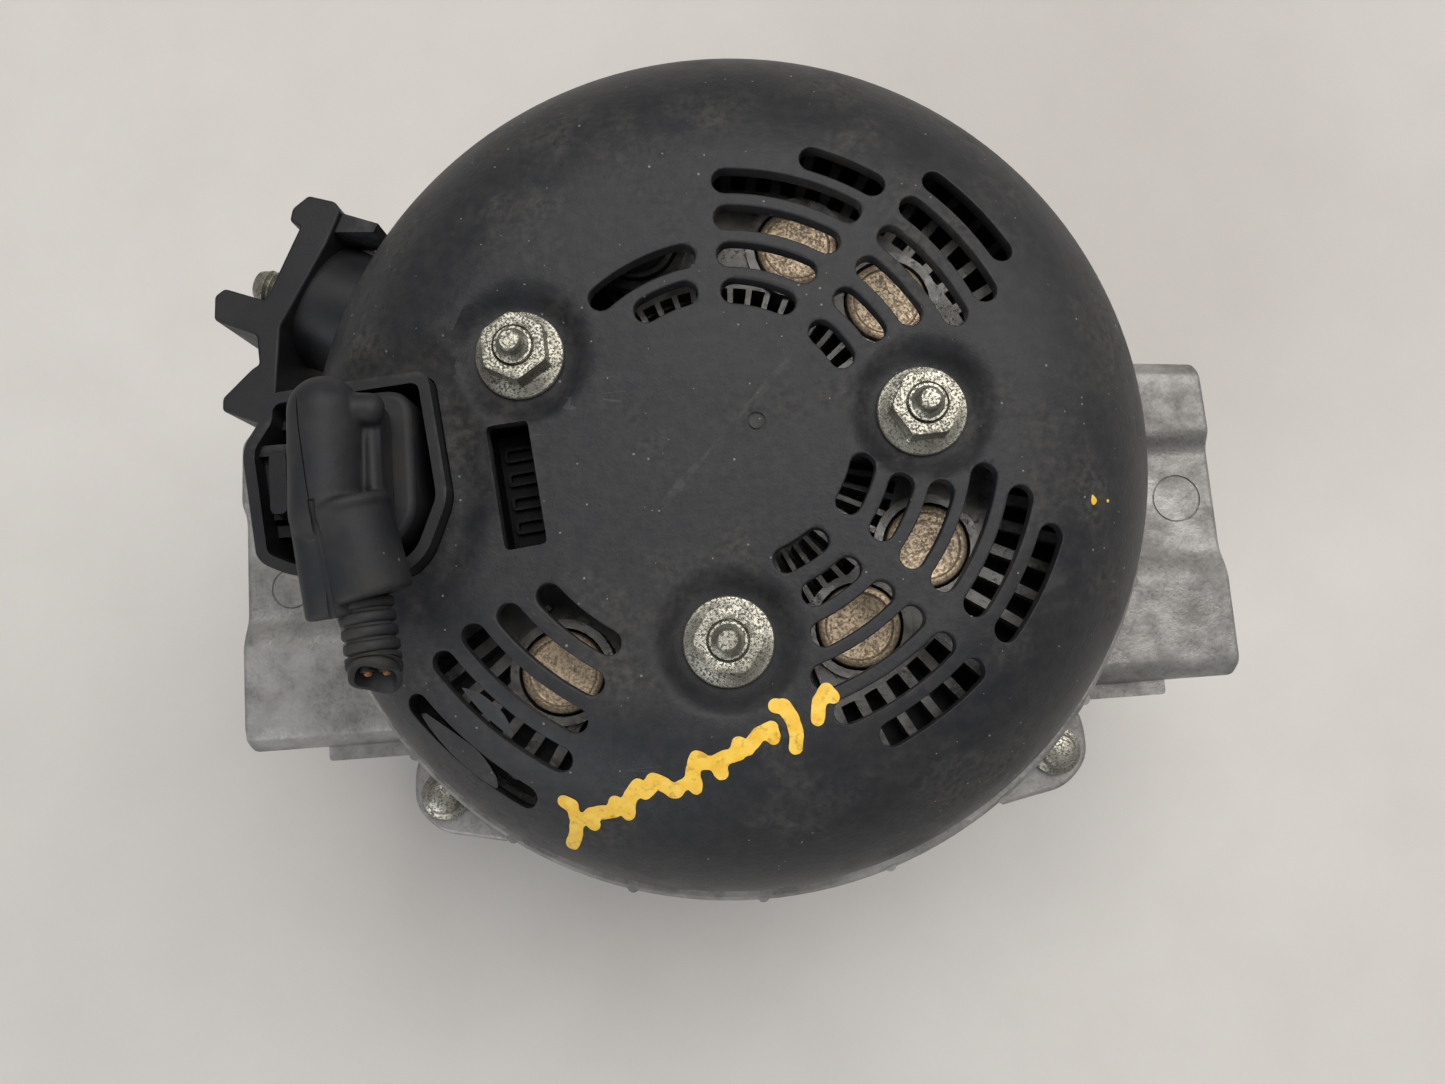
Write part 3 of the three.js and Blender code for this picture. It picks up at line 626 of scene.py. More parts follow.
def sink_alloy():
    made = Finish("finned alloy", metallic=0.5)
    cloud, flakes = made.patches(200), made.patches(1300, 0.16, 0.06)
    made.ground(cloud, (0.095, 0.092, 0.087), (0.18, 0.174, 0.165))
    # Darker in the gaps between the fins and round their roots: painted shade.
    made.lay(made.dirt_and_shade(0.8, 150), (0.022, 0.02, 0.017), 0.7)
    made.lay(flakes, (0.17, 0.165, 0.155), 0.6)
    # Brighter along the fins' edges: a painted highlight.
    made.lay(made.wear_and_highlight(0.8, 600), (0.24, 0.235, 0.225))
    return made.complete(cloud, 0.24, 0.42, (flakes, 0.03), made.grain(1500, 0.05))


def two_tone(name, metallic, scale, dark, light, roughest, grain):
    made = Finish(name, metallic=metallic)
    cloud = made.patches(scale)
    made.ground(cloud, dark, light)
    return made.complete(cloud, 0.35, roughest, made.grain(*grain))


def marker_paint():
    made = Finish("brushed marker paint", specular=0.4)
    cloud = made.patches(500)
    made.ground(cloud, (0.80, 0.46, 0.035), (0.90, 0.60, 0.09))
    made.lay(made.patches(900, 0.2, 0.08), (0.30, 0.18, 0.03), 0.5)
    return made.complete(cloud, 0.4, 0.6, made.grain(900, 0.05))


COVER_PLASTIC, MOULDING, RUBBER = cover_plastic(), black_moulding(), boot_rubber()
CAST, SINK, COPPER = cast_alloy(), sink_alloy(), tarnished_copper()
ZINC = plated("tarnished zinc", (0.47, 0.457, 0.385), (0.32, 0.31, 0.255), 0.85)
STEEL = plated("machined steel", (0.55, 0.54, 0.52), (0.38, 0.37, 0.35), 0.3)
PHOSPHATE = plated("black phosphate", (0.055, 0.055, 0.058), (0.032, 0.032, 0.034), 0.4)
LAMINATED, WINDING = laminated_steel(), wound_copper()
CARBON = two_tone("carbon block", 0.1, 900, (0.012, 0.012, 0.013), (0.03, 0.03, 0.032), 0.55, (3000, 0.02))
RESIN = two_tone("moulded resin", 0.0, 300, (0.17, 0.085, 0.035), (0.26, 0.13, 0.055), 0.5, (2400, 0.015))
PAINT, SHADE_BLACK = marker_paint(), painted_shade_black()

# The CAD nodes that stay visible take the finish of their material slot.
FINISHES = {
    "cast_alloy": CAST, "zinc_steel": ZINC, "bright_steel": STEEL, "pulley_steel": PHOSPHATE,
    "cover_plastic": COVER_PLASTIC, "black_moulding": MOULDING, "boot_rubber": RUBBER, "carbon": CARBON,
    "laminated_steel": LAMINATED, "varnished_copper": WINDING, "copper": COPPER, "sink_alloy": SINK,
    "ring_insulation": RESIN, "marker_paint": PAINT,
}
for part in frame["record"]["subparts"]:
    for material_slot in frame["nodes"][part["node"]].material_slots:
        material_slot.material = FINISHES[part["material_slot"]]


# ---- Rear cover ----
# Vent slots: centre-line radius, and the angles of the two round ends.
SLOT_HALF, SLOT_DEPTH = 1.7, 16
SLOTS = [
    (40, 55.5, 68.5), (35.1, 57, 86), (29.9, 58, 85.5), (24.7, 60, 84.5), (19.6, 62, 82.5),
    (25.1, 99, 128), (20, 101.5, 118),
    (45.5, 30, 46.5), (40.2, 25, 46.5), (35, 23.5, 46), (29.8, 29, 45), (24.5, 31, 44), (18.9, 29.5, 42.5),
    (45.5, -39.5, -22), (40.2, -39, -17), (34.9, -38.5, -14), (29.8, -38, -20), (24.5, -36, -21),
    (18.9, -34, -18),
    (45.5, -65.5, -48.5), (40.2, -71, -49), (34.9, -72.5, -49.5), (29.8, -68.5, -50.5), (24.5, -65.5, -52.5),
    (18.9, -69, -54.5),
    (55.8, -143.5, -123.5), (48.5, -145, -121), (42.9, -145, -121.5), (37.5, -143.5, -122),
    (31.9, -141, -123),
]
SOCKET = flat([
    (-39, 11.2), (-59.7, 9.6), (-61.3, 8.1), (-61.4, 6.2), (-64.1, 2.3), (-62.6, -12.1), (-61.6, -13.3),
    (-58, -15.1), (-42.9, -15.8), (-40.1, -13.4), (-37, -6.2),
])
SOCKET_MOUTH = 129.2
WINDOW_AT, WINDOW_TURN, WINDOW_FLOOR = (-28.3, -4.9), 6, 141.6
TERMINAL_AT, TERMINAL_BORE = Vector((-75.2, 37.8, 116)), 11.2
DISH_REACH, DISH_SLOPE, VALLEY = 10.2, 3.4, 1.5


def at_terminal(part):
    """Turns a part made along Z to lie along the terminal, and puts it there."""
    return moved(part, turn=about("Z", 157.5) @ about("Y", 90), at=TERMINAL_AT)


def eased(value):
    t = min(1.0, max(0.0, value))
    return t * t * (3 - 2 * t)


def away_from(outline, place):
    """The shortest distance from a place to an outline's edge."""
    nearest = 1e9
    for a, b in zip(outline, outline[1:] + outline[:1]):
        along = b - a
        t = min(1.0, max(0.0, (place - a).dot(along) / along.length_squared))
        nearest = min(nearest, (a + along * t - place).length)
    return nearest


def dome(radius, inset=0.0):
    if radius <= FLAT_RADIUS:
        return TOP - inset
    across = min(1.0, (radius - FLAT_RADIUS) / (DOME_RADIUS - FLAT_RADIUS - inset))
    return SHOULDER + (TOP - SHOULDER - inset) * math.sqrt(1 - across**2)


def shoulder(inset, steps):
    """The rounded shoulder from the flat top down, as [radius, z] points."""
    across, down = DOME_RADIUS - FLAT_RADIUS - inset, TOP - SHOULDER - inset
    turns = [math.pi / 2 * i / steps for i in range(steps + 1)]
    return [(FLAT_RADIUS + across * math.sin(t), SHOULDER + down * math.cos(t)) for t in turns]


def sunk(place):
    """How far the cover dips here: a dish round each nut and a valley along the socket."""
    flat = Vector((place.x, place.y, 0))
    away = min((flat - Vector((stud.x, stud.y, 0))).length for stud in STUDS)
    dish = (TOP - NUT_SEAT) * eased((DISH_REACH - away) / DISH_SLOPE)
    valley = VALLEY * eased((6.5 - away_from(SOCKET, flat)) / 5.0) * eased((place.x + 60) / 10)
    return max(dish, valley)


def cover_height(place):
    return dome(math.hypot(place.x, place.y)) - sunk(place)


def sunk_cutter(ring_at, depth):
    """A vent cutter with a rounded mouth. ring_at gives the outline, moved out by a distance."""
    rings = []
    for drop, out in ((-0.5, 0.4), (0.0, 0.22), (0.06, 0.1), (0.16, 0.03), (0.5, 0.0), (depth, 0.0)):
        outline = ring_at(out)
        rings.append([Vector((p.x, p.y, cover_height(p) - drop)) for p in outline])
    return loft(rings)


def window_outline(grow):
    w, h = 2.85 + grow, 8.5 + grow
    turn = Matrix.Rotation(math.radians(WINDOW_TURN), 3, "Z")
    corners = flat([(w, -h), (w, h), (-w, h), (-w, -h)])
    return [turn @ p + Vector((*WINDOW_AT, 0)) for p in rounded(corners, 0.8, 3)]


def make_cover():
    outer = [(r, TOP) for r in (0, 3, 6, 9, 12, 15, *range(16, 38))]
    outer += shoulder(0, 26)[:-1]
    outer += [(DOME_RADIUS, 120.1), (65.0, 119.8), (65.0, 118.7), (64.8, SKIRT)]
    inner = [(62.3, SKIRT)] + shoulder(SKIN, 10)[::-1]
    inner += [(r, TOP - SKIN) for r in (33, 29, 25, 21, 17, 10, 0)]
    shell = lathe(outer + inner, steps=180, ring=False)
    for v in shell.verts:
        if v.co.z > SHOULDER + 9:
            v.co.z -= sunk(v.co)
    slots = [sunk_cutter(lambda out, s=s: slot_outline(*s, SLOT_HALF + out), SLOT_DEPTH) for s in SLOTS]
    window = prism(window_outline(0), TOP - 5.7, TOP + 3)
    socket = prism(rounded(offset_outline(SOCKET, 0.15), 2.0), SOCKET_MOUTH, TOP + 3)
    holes = [rod(2.9, 140, 152, s, 24) for s in STUDS]
    # The ring that the mould's gate left near the middle.
    gate = moved(tube(0.95, 1.3, TOP - 0.25, TOP + 1, 24), at=(4.3, 1.2, 0))
    terminal = at_terminal(cylinder(TERMINAL_BORE, -30, 20, 40))
    shell = carve(shell, *slots, window, gate, *holes, socket, terminal)
    piece("cover_shell", shell, COVER_PLASTIC, "cover_plastic", "rear_cover")
    tray = prism(window_outline(1.5), WINDOW_FLOOR - 1.4, TOP - SKIN - 0.02)
    tray = carve(tray, prism(window_outline(0.02), WINDOW_FLOOR, TOP))
    # Plain raised bars on the floor of the window.
    bars = []
    for y in (-5.6, -2.2, 1.2, 4.6):
        rim = flat([(-2.1, y), (2.1, y), (2.1, y + 2), (-2.1, y + 2)])
        hole = flat([(-1.7, y + 0.4), (1.7, y + 0.4), (1.7, y + 1.6), (-1.7, y + 1.6)])
        bar = prism(rounded(rim, 0.6, 3), WINDOW_FLOOR - 0.5, WINDOW_FLOOR + 1.0)
        bar = carve(bar, prism(rounded(hole, 0.4, 3), WINDOW_FLOOR - 1, WINDOW_FLOOR + 2))
        bars.append(moved(bar, turn=about("Z", WINDOW_TURN), at=(*WINDOW_AT, 0)))
    # The tray and its bars take the near-black painted shade finish.
    piece("window_tray", fuse(tray, *bars), SHADE_BLACK, "cover_plastic")


make_cover()


# ---- Nuts and studs that hold the cover ----
def hexagon(radius, low, high, chamfer):
    """A hexagon whose top is turned down to a round chamfer."""
    body = prism([polar(radius, 30 + 60 * i) for i in range(6)], low, high)
    turned = [(0, low), (radius + 0.05, low), (radius + 0.05, high - chamfer)]
    turned += [(radius - chamfer * 0.5, high - chamfer * 0.2), (radius - chamfer, high), (0, high)]
    return boolean(body, lathe(turned, 64, ring=False), "INTERSECT")


def cover_nut():
    flange = [(2.7, 0.1), (5.9, 0.0), (6.1, 0.2), (6.1, 0.6), (5.95, 0.8), (5.2, 1.0)]
    nut = fuse(lathe(flange + [(4.6, 1.35), (2.7, 1.5)], 64), hexagon(4.75, 1.0, 5.6, 0.35))
    bore = lathe([(0, -1), (2.55, -1), (2.55, 5.2), (2.85, 5.5), (2.9, 7), (0, 7)], 48, ring=False)
    return soften(carve(nut, bore), 0.12, 2, 40)


def threads(radius, low, high, pitch, depth):
    """Rings that stand for a thread, as [radius, z] points."""
    points = []
    for i in range(round((high - low) / pitch)):
        z = low + pitch * i
        points += [(radius - depth, z), (radius, z + pitch * 0.4), (radius, z + pitch * 0.6)]
    return points + [(radius - depth, high)]


def cover_stud(tip):
    profile = [(0, SKIRT + 0.2), (2.5, SKIRT + 0.2), (2.5, NUT_SEAT - 1)]
    profile += threads(2.5, NUT_SEAT - 0.8, tip - 2.4, 0.8, 0.3)
    profile += [(2.0, tip - 2.2), (1.75, tip - 2.0), (1.62, tip - 1.8), (1.62, tip - 0.5), (1.5, tip - 0.22)]
    profile += [(1.2, tip), (0, tip)]
    return lathe(profile, 48, ring=False)


NUT_TURNS = (3, 32, 25)
for number, (stud, turned) in enumerate(zip(STUDS, NUT_TURNS), 1):
    nut = moved(cover_nut(), turn=about("Z", turned), at=(stud.x, stud.y, NUT_SEAT + 0.1))
    piece(f"flange_nut_{number}", nut, ZINC, "zinc_steel", f"cover_nut_{number}")
    tip = span(f"cover_stud_{number}")[1].z
    made = moved(cover_stud(tip), at=(stud.x, stud.y, 0))
    piece(f"cover_stud_turned_{number}", made, ZINC, "zinc_steel", f"cover_stud_{number}")


# ---- Rectifier ----
def ring_of_teeth(inner, outer, tips, start, end, pitches, thin):
    """A plate between two angles, toothed on both edges. Each pair is for the inner edge, then the outer."""
    def edge(root, tip, pitch, half):
        count = round((end - start) / pitch)
        step = (end - start) / count
        points = []
        for i in range(count):
            middle = start + step * (i + 0.5)
            at_root, at_tip = math.degrees(half * 1.25 / root), math.degrees(half / tip)
            points += [polar(root, middle - at_root), polar(tip, middle - at_tip)]
            points += [polar(tip, middle + at_tip), polar(root, middle + at_root)]
        return points

    return edge(outer, tips[1], pitches[1], thin[1]) + edge(inner, tips[0], pitches[0], thin[0])[::-1]


SINK_LOW = span("rectifier_positive_sink")[0].z
fins = ring_of_teeth(25.0, 40.2, (16.6, 52.5), -74, 120, (6.4, 5.2), (0.34, 0.62))
low_fins = ring_of_teeth(36.5, 41.0, (34.0, 56.0), -152, -112, (5.6, 4.4), (0.4, 0.7))
sink = fuse(
    prism(fins, SINK_LOW + 0.5, SINK_LOW + 7.6),
    prism(band(24.6, 42, -150, -70, 40), SINK_LOW, SINK_LOW + 4),
    prism(band(24.6, 42, 88, 121, 16), SINK_LOW, SINK_LOW + 4),
    prism(low_fins, SINK_LOW - 0.5, SINK_LOW + 6.4),
    *[rod(7.6, SINK_LOW, SINK_LOW + 8.6, d) for d in DIODES],
    *[rod(5.4, SINK_LOW, SINK_LOW + 4.2, s) for s in STUDS[1:]],
)
sink = carve(
    sink, joined([rod(6.35, SINK_LOW - 9, SINK_LOW + 13, d) for d in DIODES]),
    joined([rod(3.4, SINK_LOW - 9, SINK_LOW + 13, s, 20) for s in STUDS]),
)
piece("finned_sink", sink, SINK, "sink_alloy", "rectifier_positive_sink", crease=25)
for number, place in enumerate(DIODES, 1):
    low, high = heights(f"diode_{number}")
    rim = ((5.95, 0.7), (5.75, 0.3), (5.3, 0.05), (4.95, 0.05), (4.7, 0.3), (4.5, 0.38), (0, 0.38))
    profile = [(0, low), (5.95, low)] + [(radius, high - drop) for radius, drop in rim]
    cap = moved(lathe(profile, 64, ring=False), at=(place.x, place.y, 0))
    # The last cap sits in the dark behind the cover and takes the dark finned-alloy finish: painted shade.
    piece(f"diode_cap_{number}", cap, SINK if number == 6 else COPPER, "copper", f"diode_{number}")


# ---- Regulator socket ----
SOCKET_LOW, SOCKET_HIGH = heights("voltage_regulator")


def block(low, high, corner=0.4):
    """A box between two corners with its upright edges rounded."""
    outline = flat([(low[0], low[1]), (high[0], low[1]), (high[0], high[1]), (low[0], high[1])])
    return prism(rounded(outline, corner, 4), low[2], high[2])


def make_socket():
    outside = prism(rounded(SOCKET, 2.0), SOCKET_LOW + 9.5, SOCKET_HIGH)
    inside = prism(rounded(offset_outline(SOCKET, -1.5), 1.2), SOCKET_LOW + 14, SOCKET_HIGH + 2)
    base = block((-57.4, -15.4, SOCKET_LOW), (-36, 12, SOCKET_LOW + 10), 1.5)
    body = carve(fuse(outside, base), inside)
    top = SOCKET_HIGH
    ribs = [
        block((-63.4, 1.4, 134), (-57.6, 2.9, top - 1.6)),
        block((-60.9, -6.6, 134), (-58.6, 1.7, top - 0.9), 1.0),
        block((-63.2, -6.4, 134), (-61.6, 2.0, top - 3.6)),
        block((-63.0, -6.9, 134), (-58.0, -5.6, top - 4.2)),
        block((-62.8, -9.2, 134), (-58.2, -7.6, top - 5.0), 0.7),
        block((-60.4, 5.4, 134), (-56.4, 6.6, top - 4)),
    ]
    ribs = [boolean(rib, prism(offset_outline(SOCKET, -1.0), 133, top), "INTERSECT") for rib in ribs]
    body = soften(fuse(body, *ribs), 0.35, 3, 50, where=lambda p: p.z > 134.5)
    piece("socket_shroud", body, MOULDING, "black_moulding", "voltage_regulator")


make_socket()


# ---- Plug, boot and strain relief ----
def make_plug():
    outline = [(-41, 8.5), (-50, 8.2), (-52.5, 5), (-52.5, -9), (-50, -12), (-43.7, -12.3), (-40.9, -8.5)]
    low, high = heights("plug_housing")
    lobe = prism(rounded(flat(outline), 3.6, 8), low, high)
    lobe = soften(lobe, 1.1, 4, 50, where=lambda p: p.z > high - 0.1)
    piece("plug_lobe", lobe, RUBBER, "black_moulding", "plug_housing")


BOOT_LOW, BOOT_HIGH = heights("plug_boot")
RELIEF_TURN = about("Z", 5.5) @ about("X", 90)
RELIEF_AT = Vector((-47.0, -18.9, 157.0))


def capsule(radius, start, end, soft=1.0, steps=40):
    """A rod between two places with rounded ends. Soft is how much of the radius the rounding takes."""
    start, end = Vector(start), Vector(end)
    reach, curve = (end - start).length, [math.pi / 2 * i / 8 for i in range(9)]
    inner, bend = radius * (1 - soft), radius * soft
    profile = [(inner + bend * math.sin(t), bend * (1 - math.cos(t))) for t in curve]
    profile += [(inner + bend * math.cos(t), reach - bend * (1 - math.sin(t))) for t in curve]
    if inner > 0:
        profile = [(0, 0)] + profile + [(0, reach)]
    else:
        profile[0], profile[-1] = (0, 0), (0, reach)
    turn = (end - start).to_track_quat("Z", "Y").to_matrix()
    return moved(lathe(profile, steps, ring=False), turn=turn, at=start)


def make_boot():
    top = BOOT_HIGH
    arm = capsule(4.6, (-49.9, 8.9, top - 4.6), (-50.7, -13, top - 5.6))
    stem = [(-54.0, -9), (-46.2, -9), (-45.8, 3.6), (-46.4, 6.0), (-48.4, 7.9), (-51, 8.2), (-53.3, 6.4)]
    stem.append((-54.2, 3.6))
    stem = prism(rounded(flat(stem), 1.5), BOOT_LOW + 1, top - 5)
    neck = block((-47.5, -9, BOOT_LOW + 1), (-43.4, 5.6, 159.4), 1.2)
    ridge = capsule(0.9, (-44.7, 2.5, 159.2), (-44.5, -6.5, 159.6))
    knob = capsule(2.1, (-48.5, 4.6, 160.6), (-42.6, 4.2, 160.0), 0.8)
    main = capsule(5.15, (-48.0, -7.4, 159.4), (-45.5, -19.2, 158.2), 0.14)
    lip = capsule(5.5, (-48.1, -7.0, 159.4), (-47.75, -8.7, 159.3), 0.15)
    side = capsule(3.75, (-51.6, -8.6, 158.9), (-50.5, -21.4, 157.4), 0.16)
    melted = remelt(joined([arm, stem, neck, ridge, knob, main, lip, side]), 0.28, 7)
    seam = [(-52.3, 9.2), (-52.0, 2), (-51.4, -4), (-50.9, -8.4)]
    line = flat([(x - 0.11, y) for x, y in seam] + [(x + 0.11, y) for x, y in reversed(seam)])
    crease = capsule(0.5, (-50.8, -7.2, 164.3), (-49.7, -22, 161.0), 0.5, 12)
    melted = carve(melted, prism(line, top - 1.1, top + 2), crease)
    piece("plug_boot_skin", melted, RUBBER, "boot_rubber", "plug_boot", crease=40)


def make_relief():
    """Six soft rings with a ragged cut end. It is turned upright, then laid along the lead."""
    profile = [(0, 0), (3.0, 0)]
    for i in range(6):
        start = 0.3 + 1.82 * i
        ring = ((3.02, 0), (3.4, 0.14), (3.52, 0.35), (3.52, 1.1), (3.4, 1.36), (3.02, 1.5))
        profile += [(radius, start + rise) for radius, rise in ring]
    profile += [(3.25, 11.5), (3.3, 12.3), (3.0, 12.5), (2.55, 12.4), (2.45, 11), (2.45, 6), (0, 6)]
    made = lathe(profile, 48, ring=False)
    for v in made.verts:
        wave = math.sin(3 * math.atan2(v.co.y, v.co.x) + v.co.z * 0.4)
        v.co.x *= 1 + 0.02 * wave
        if v.co.z > 10.0:
            v.co.z += 0.3 * wave * (v.co.z - 10) / 2.5
        # The end was cut slanting, so the hollow can be seen from above.
        v.co.z -= 1.9 * eased((v.co.z - 7) / 5) * (1 + v.co.y / 3.3)
    moved(made, turn=RELIEF_TURN, at=RELIEF_AT)
    piece("strain_relief", made, RUBBER, "boot_rubber", crease=50)


make_plug()
make_boot()
make_relief()
for number in (1, 2):
    low, high = span(f"plug_wire_{number}")
    middle = (low + high) / 2
    core = lathe([(0, 0), (0.55, 0), (0.55, 7.6), (0.3, 7.9), (0, 7.9)], 16, ring=False)
    jacket = lathe([(0.56, 0), (1.0, 0), (1.0, 7.2), (0.9, 7.35), (0.56, 7.35)], 24)
    for made, name, finish, slot in (
        (jacket, "wire_jacket", RUBBER, "boot_rubber"), (core, "wire_strands", WINDING, "varnished_copper"),
    ):
        moved(made, turn=RELIEF_TURN, at=(middle.x - 0.2, high.y, middle.z))
        replaced = [f"plug_wire_{number}"] if name == "wire_jacket" else ()
        piece(f"{name}_{number}", made, finish, slot, *replaced)


# ---- Output terminal ----
def make_insulator():
    wall = [
        (-62.3, 47.3), (-58.2, 46), (-57.3, 44.4), (-59.8, 39), (-67.4, 26.5), (-68.4, 15.8), (-71.1, 11.4),
        (-76.8, 13.9), (-76.7, 15.9), (-72, 20.2), (-70.9, 20.8), (-71.2, 25.4), (-77.7, 28.4),
        (-77.5, 32.2), (-75.9, 33.3), (-69.6, 30.9), (-63.8, 42.3), (-65.4, 43.4), (-64.9, 45.4),
    ]
    low, high = heights("output_insulator")
    plate = prism(rounded(flat(wall[::-1]), 0.5, 3), low, high)
    arm = prism(flat([(-58, 44.6), (-51.8, 42.2), (-52.6, 40.9), (-59.4, 41.4)]), 118.7, high - 1)
    collar = lathe([(8, -23), (10.2, -23), (10.5, -22.6), (10.5, -9.4), (10.2, -9), (8, -9)], 64)
    hollow, cup = cylinder(3.3, -40, 20), cylinder(8, -40, -14, 48)
    for part in (collar, hollow, cup):
        at_terminal(part)
    frame_side = tube(10, 61.3, 90, 140, 120)
    body = carve(fuse(plate, arm, collar), hollow, cup, frame_side)
    body = soften(body, 0.45, 3, 50, where=lambda p: p.z > high - 0.1)
    piece("terminal_insulator", body, MOULDING, "black_moulding", "output_insulator")


make_insulator()
end = [(2.6, -0.9), (2.3, -0.2), (1.9, 0), (0, 0)]
profile = [(0, -26), (2.9, -26)] + threads(3.0, -25.5, -1.2, 1.0, 0.4) + end
stud = at_terminal(lathe(profile, 48, ring=False))
piece("terminal_stud", stud, ZINC, "zinc_steel", "output_stud")


# ---- Castings ----
BOLT_ANGLES = [math.degrees(math.atan2(b.y, b.x)) for b in BOLTS]
BOLT_RADIUS = 69.3
BOLT_HOLE = 2.5
VENT_ANGLES = [30, 45, 77, 90, 103, 135, 150, -57, -73, -90, -107, -123]
REAR_VENT_ANGLES = [a for a in VENT_ANGLES if a != 150] + [12, -8, -28, 188, 208]


def lug(angle, low, high, soft=0.8):
    """A bolt lug whose broad flank runs back into the rim on the side away from the ears."""
    side = math.copysign(1, angle) * (1 if abs(angle) < 90 else -1)
    outline = [(-9, -10), (0.2, -7.4), (5.2, -2.6), (5.3, 3.4), (1.4, 9), (-2.6, 15), (-9, 15)]
    outline = [Vector((BOLT_RADIUS + u, v * side, 0)) for u, v in outline]
    body = prism(rounded(outline, 3.0, 6), low, high)
    return moved(soften(body, soft, 3, 50), turn=about("Z", angle))


def bars_at(angles, low, high):
    """Straight cutters that point outwards at each angle."""
    return joined([moved(block((55, *low), (72, *high), 0.2), turn=about("Z", a)) for a in angles])


def make_rear_casting():
    low, high = heights("rear_bracket")
    inside = FRAME_RADIUS - 4.8
    profile = [
        (17.8, 107), (21.5, 107), (22.5, 113.5), (58, 113.5), (inside, 110), (inside, CORE_HIGH.z + 0.3),
        (CORE_SEAT, CORE_HIGH.z + 0.3), (CORE_SEAT, low), (67.2, low), (67.8, low + 0.6), (67.8, 109.5),
        (67.0, 111.5), (66.9, 116.9), (66.2, 118), (22, 118), (20, high), (9.5, high), (9.5, 119.3),
        (17.8, 119.3),
    ]
    shell = lathe(profile, 144)
    hollow = cylinder(CORE_SEAT, 80, CORE_HIGH.z + 0.3, 144)
    inner = cylinder(inside, 90, 110, 144)
    lugs = [carve(lug(a, 92, 108), hollow.copy(), inner.copy()) for a in BOLT_ANGLES]
    shell = fuse(shell, joined(lugs))
    nubs = [rod(1.0, 112, 117.4, polar(CORE_SEAT, 8 + 17.5 * i), 12) for i in range(20)]
    shell = fuse(shell, joined(nubs))
    vents = [prism(band(26, 50, 45 * i + 14, 45 * i + 38, 12), 112, 122) for i in range(8)]
    sides = bars_at(REAR_VENT_ANGLES, (-3.5, 103.5), (3.5, 110))
    seats = [rod(4.3, 108, 114, b) for b in BOLTS]
    bolts = [rod(BOLT_HOLE, 85, 115, b, 20) for b in BOLTS]
    studs = [rod(2.8, 112, 122, s, 20) for s in STUDS]
    terminal = at_terminal(cylinder(TERMINAL_BORE, -30, 40, 40))
    shell = carve(shell, joined(vents), sides, joined(seats), joined(bolts), joined(studs), terminal)
    piece("rear_casting", shell, CAST, "cast_alloy", "rear_bracket")


EAR_BOTTOM, EAR_TOP, EAR_BASE, EAR_CREST = -38.8, 19.0, 42.0, 90.0
EAR_REACH = span("front_bracket")[1].x
UP_FROM_SIDE = Matrix(((0, 0, 1), (1, 0, 0), (0, 1, 0)))


def make_ear():
    side = [
        (EAR_BOTTOM, EAR_BASE + 6), (EAR_BOTTOM, EAR_CREST - 4), (EAR_BOTTOM + 2.4, EAR_CREST - 0.2),
        (-20.5, EAR_CREST), (-18.5, EAR_CREST - 0.8), (-15.5, EAR_CREST - 2.6), (3.4, EAR_CREST - 2.6),
        (5.6, EAR_CREST - 0.2), (16.4, EAR_CREST - 0.8), (EAR_TOP, EAR_CREST - 3.6),
        (EAR_TOP, EAR_BASE + 20), (0, EAR_BASE), (-30, EAR_BASE),
    ]
    outline = rounded(flat(side), 1.6, 4)
    slab = moved(prism(outline, 50, EAR_REACH), turn=UP_FROM_SIDE)
    for v in slab.verts:
        if v.co.x > 80:
            v.co.x -= 0.9 * (v.co.y - EAR_BOTTOM) / (EAR_TOP - EAR_BOTTOM)
        if v.co.y > EAR_TOP - 4:
            v.co.y += 0.6 if v.co.x > 80 else 4.2
    slab = soften(slab, 0.9, 3, 60)
    pad = block((61, EAR_BOTTOM - 2.6, EAR_BASE + 14), (77, EAR_BOTTOM + 1, EAR_CREST - 5), 0.8)
    pocket = block((72, -14, EAR_BASE - 1), (84.5, 12, EAR_CREST - 9), 1.5)
    return carve(fuse(slab, pad), pocket)


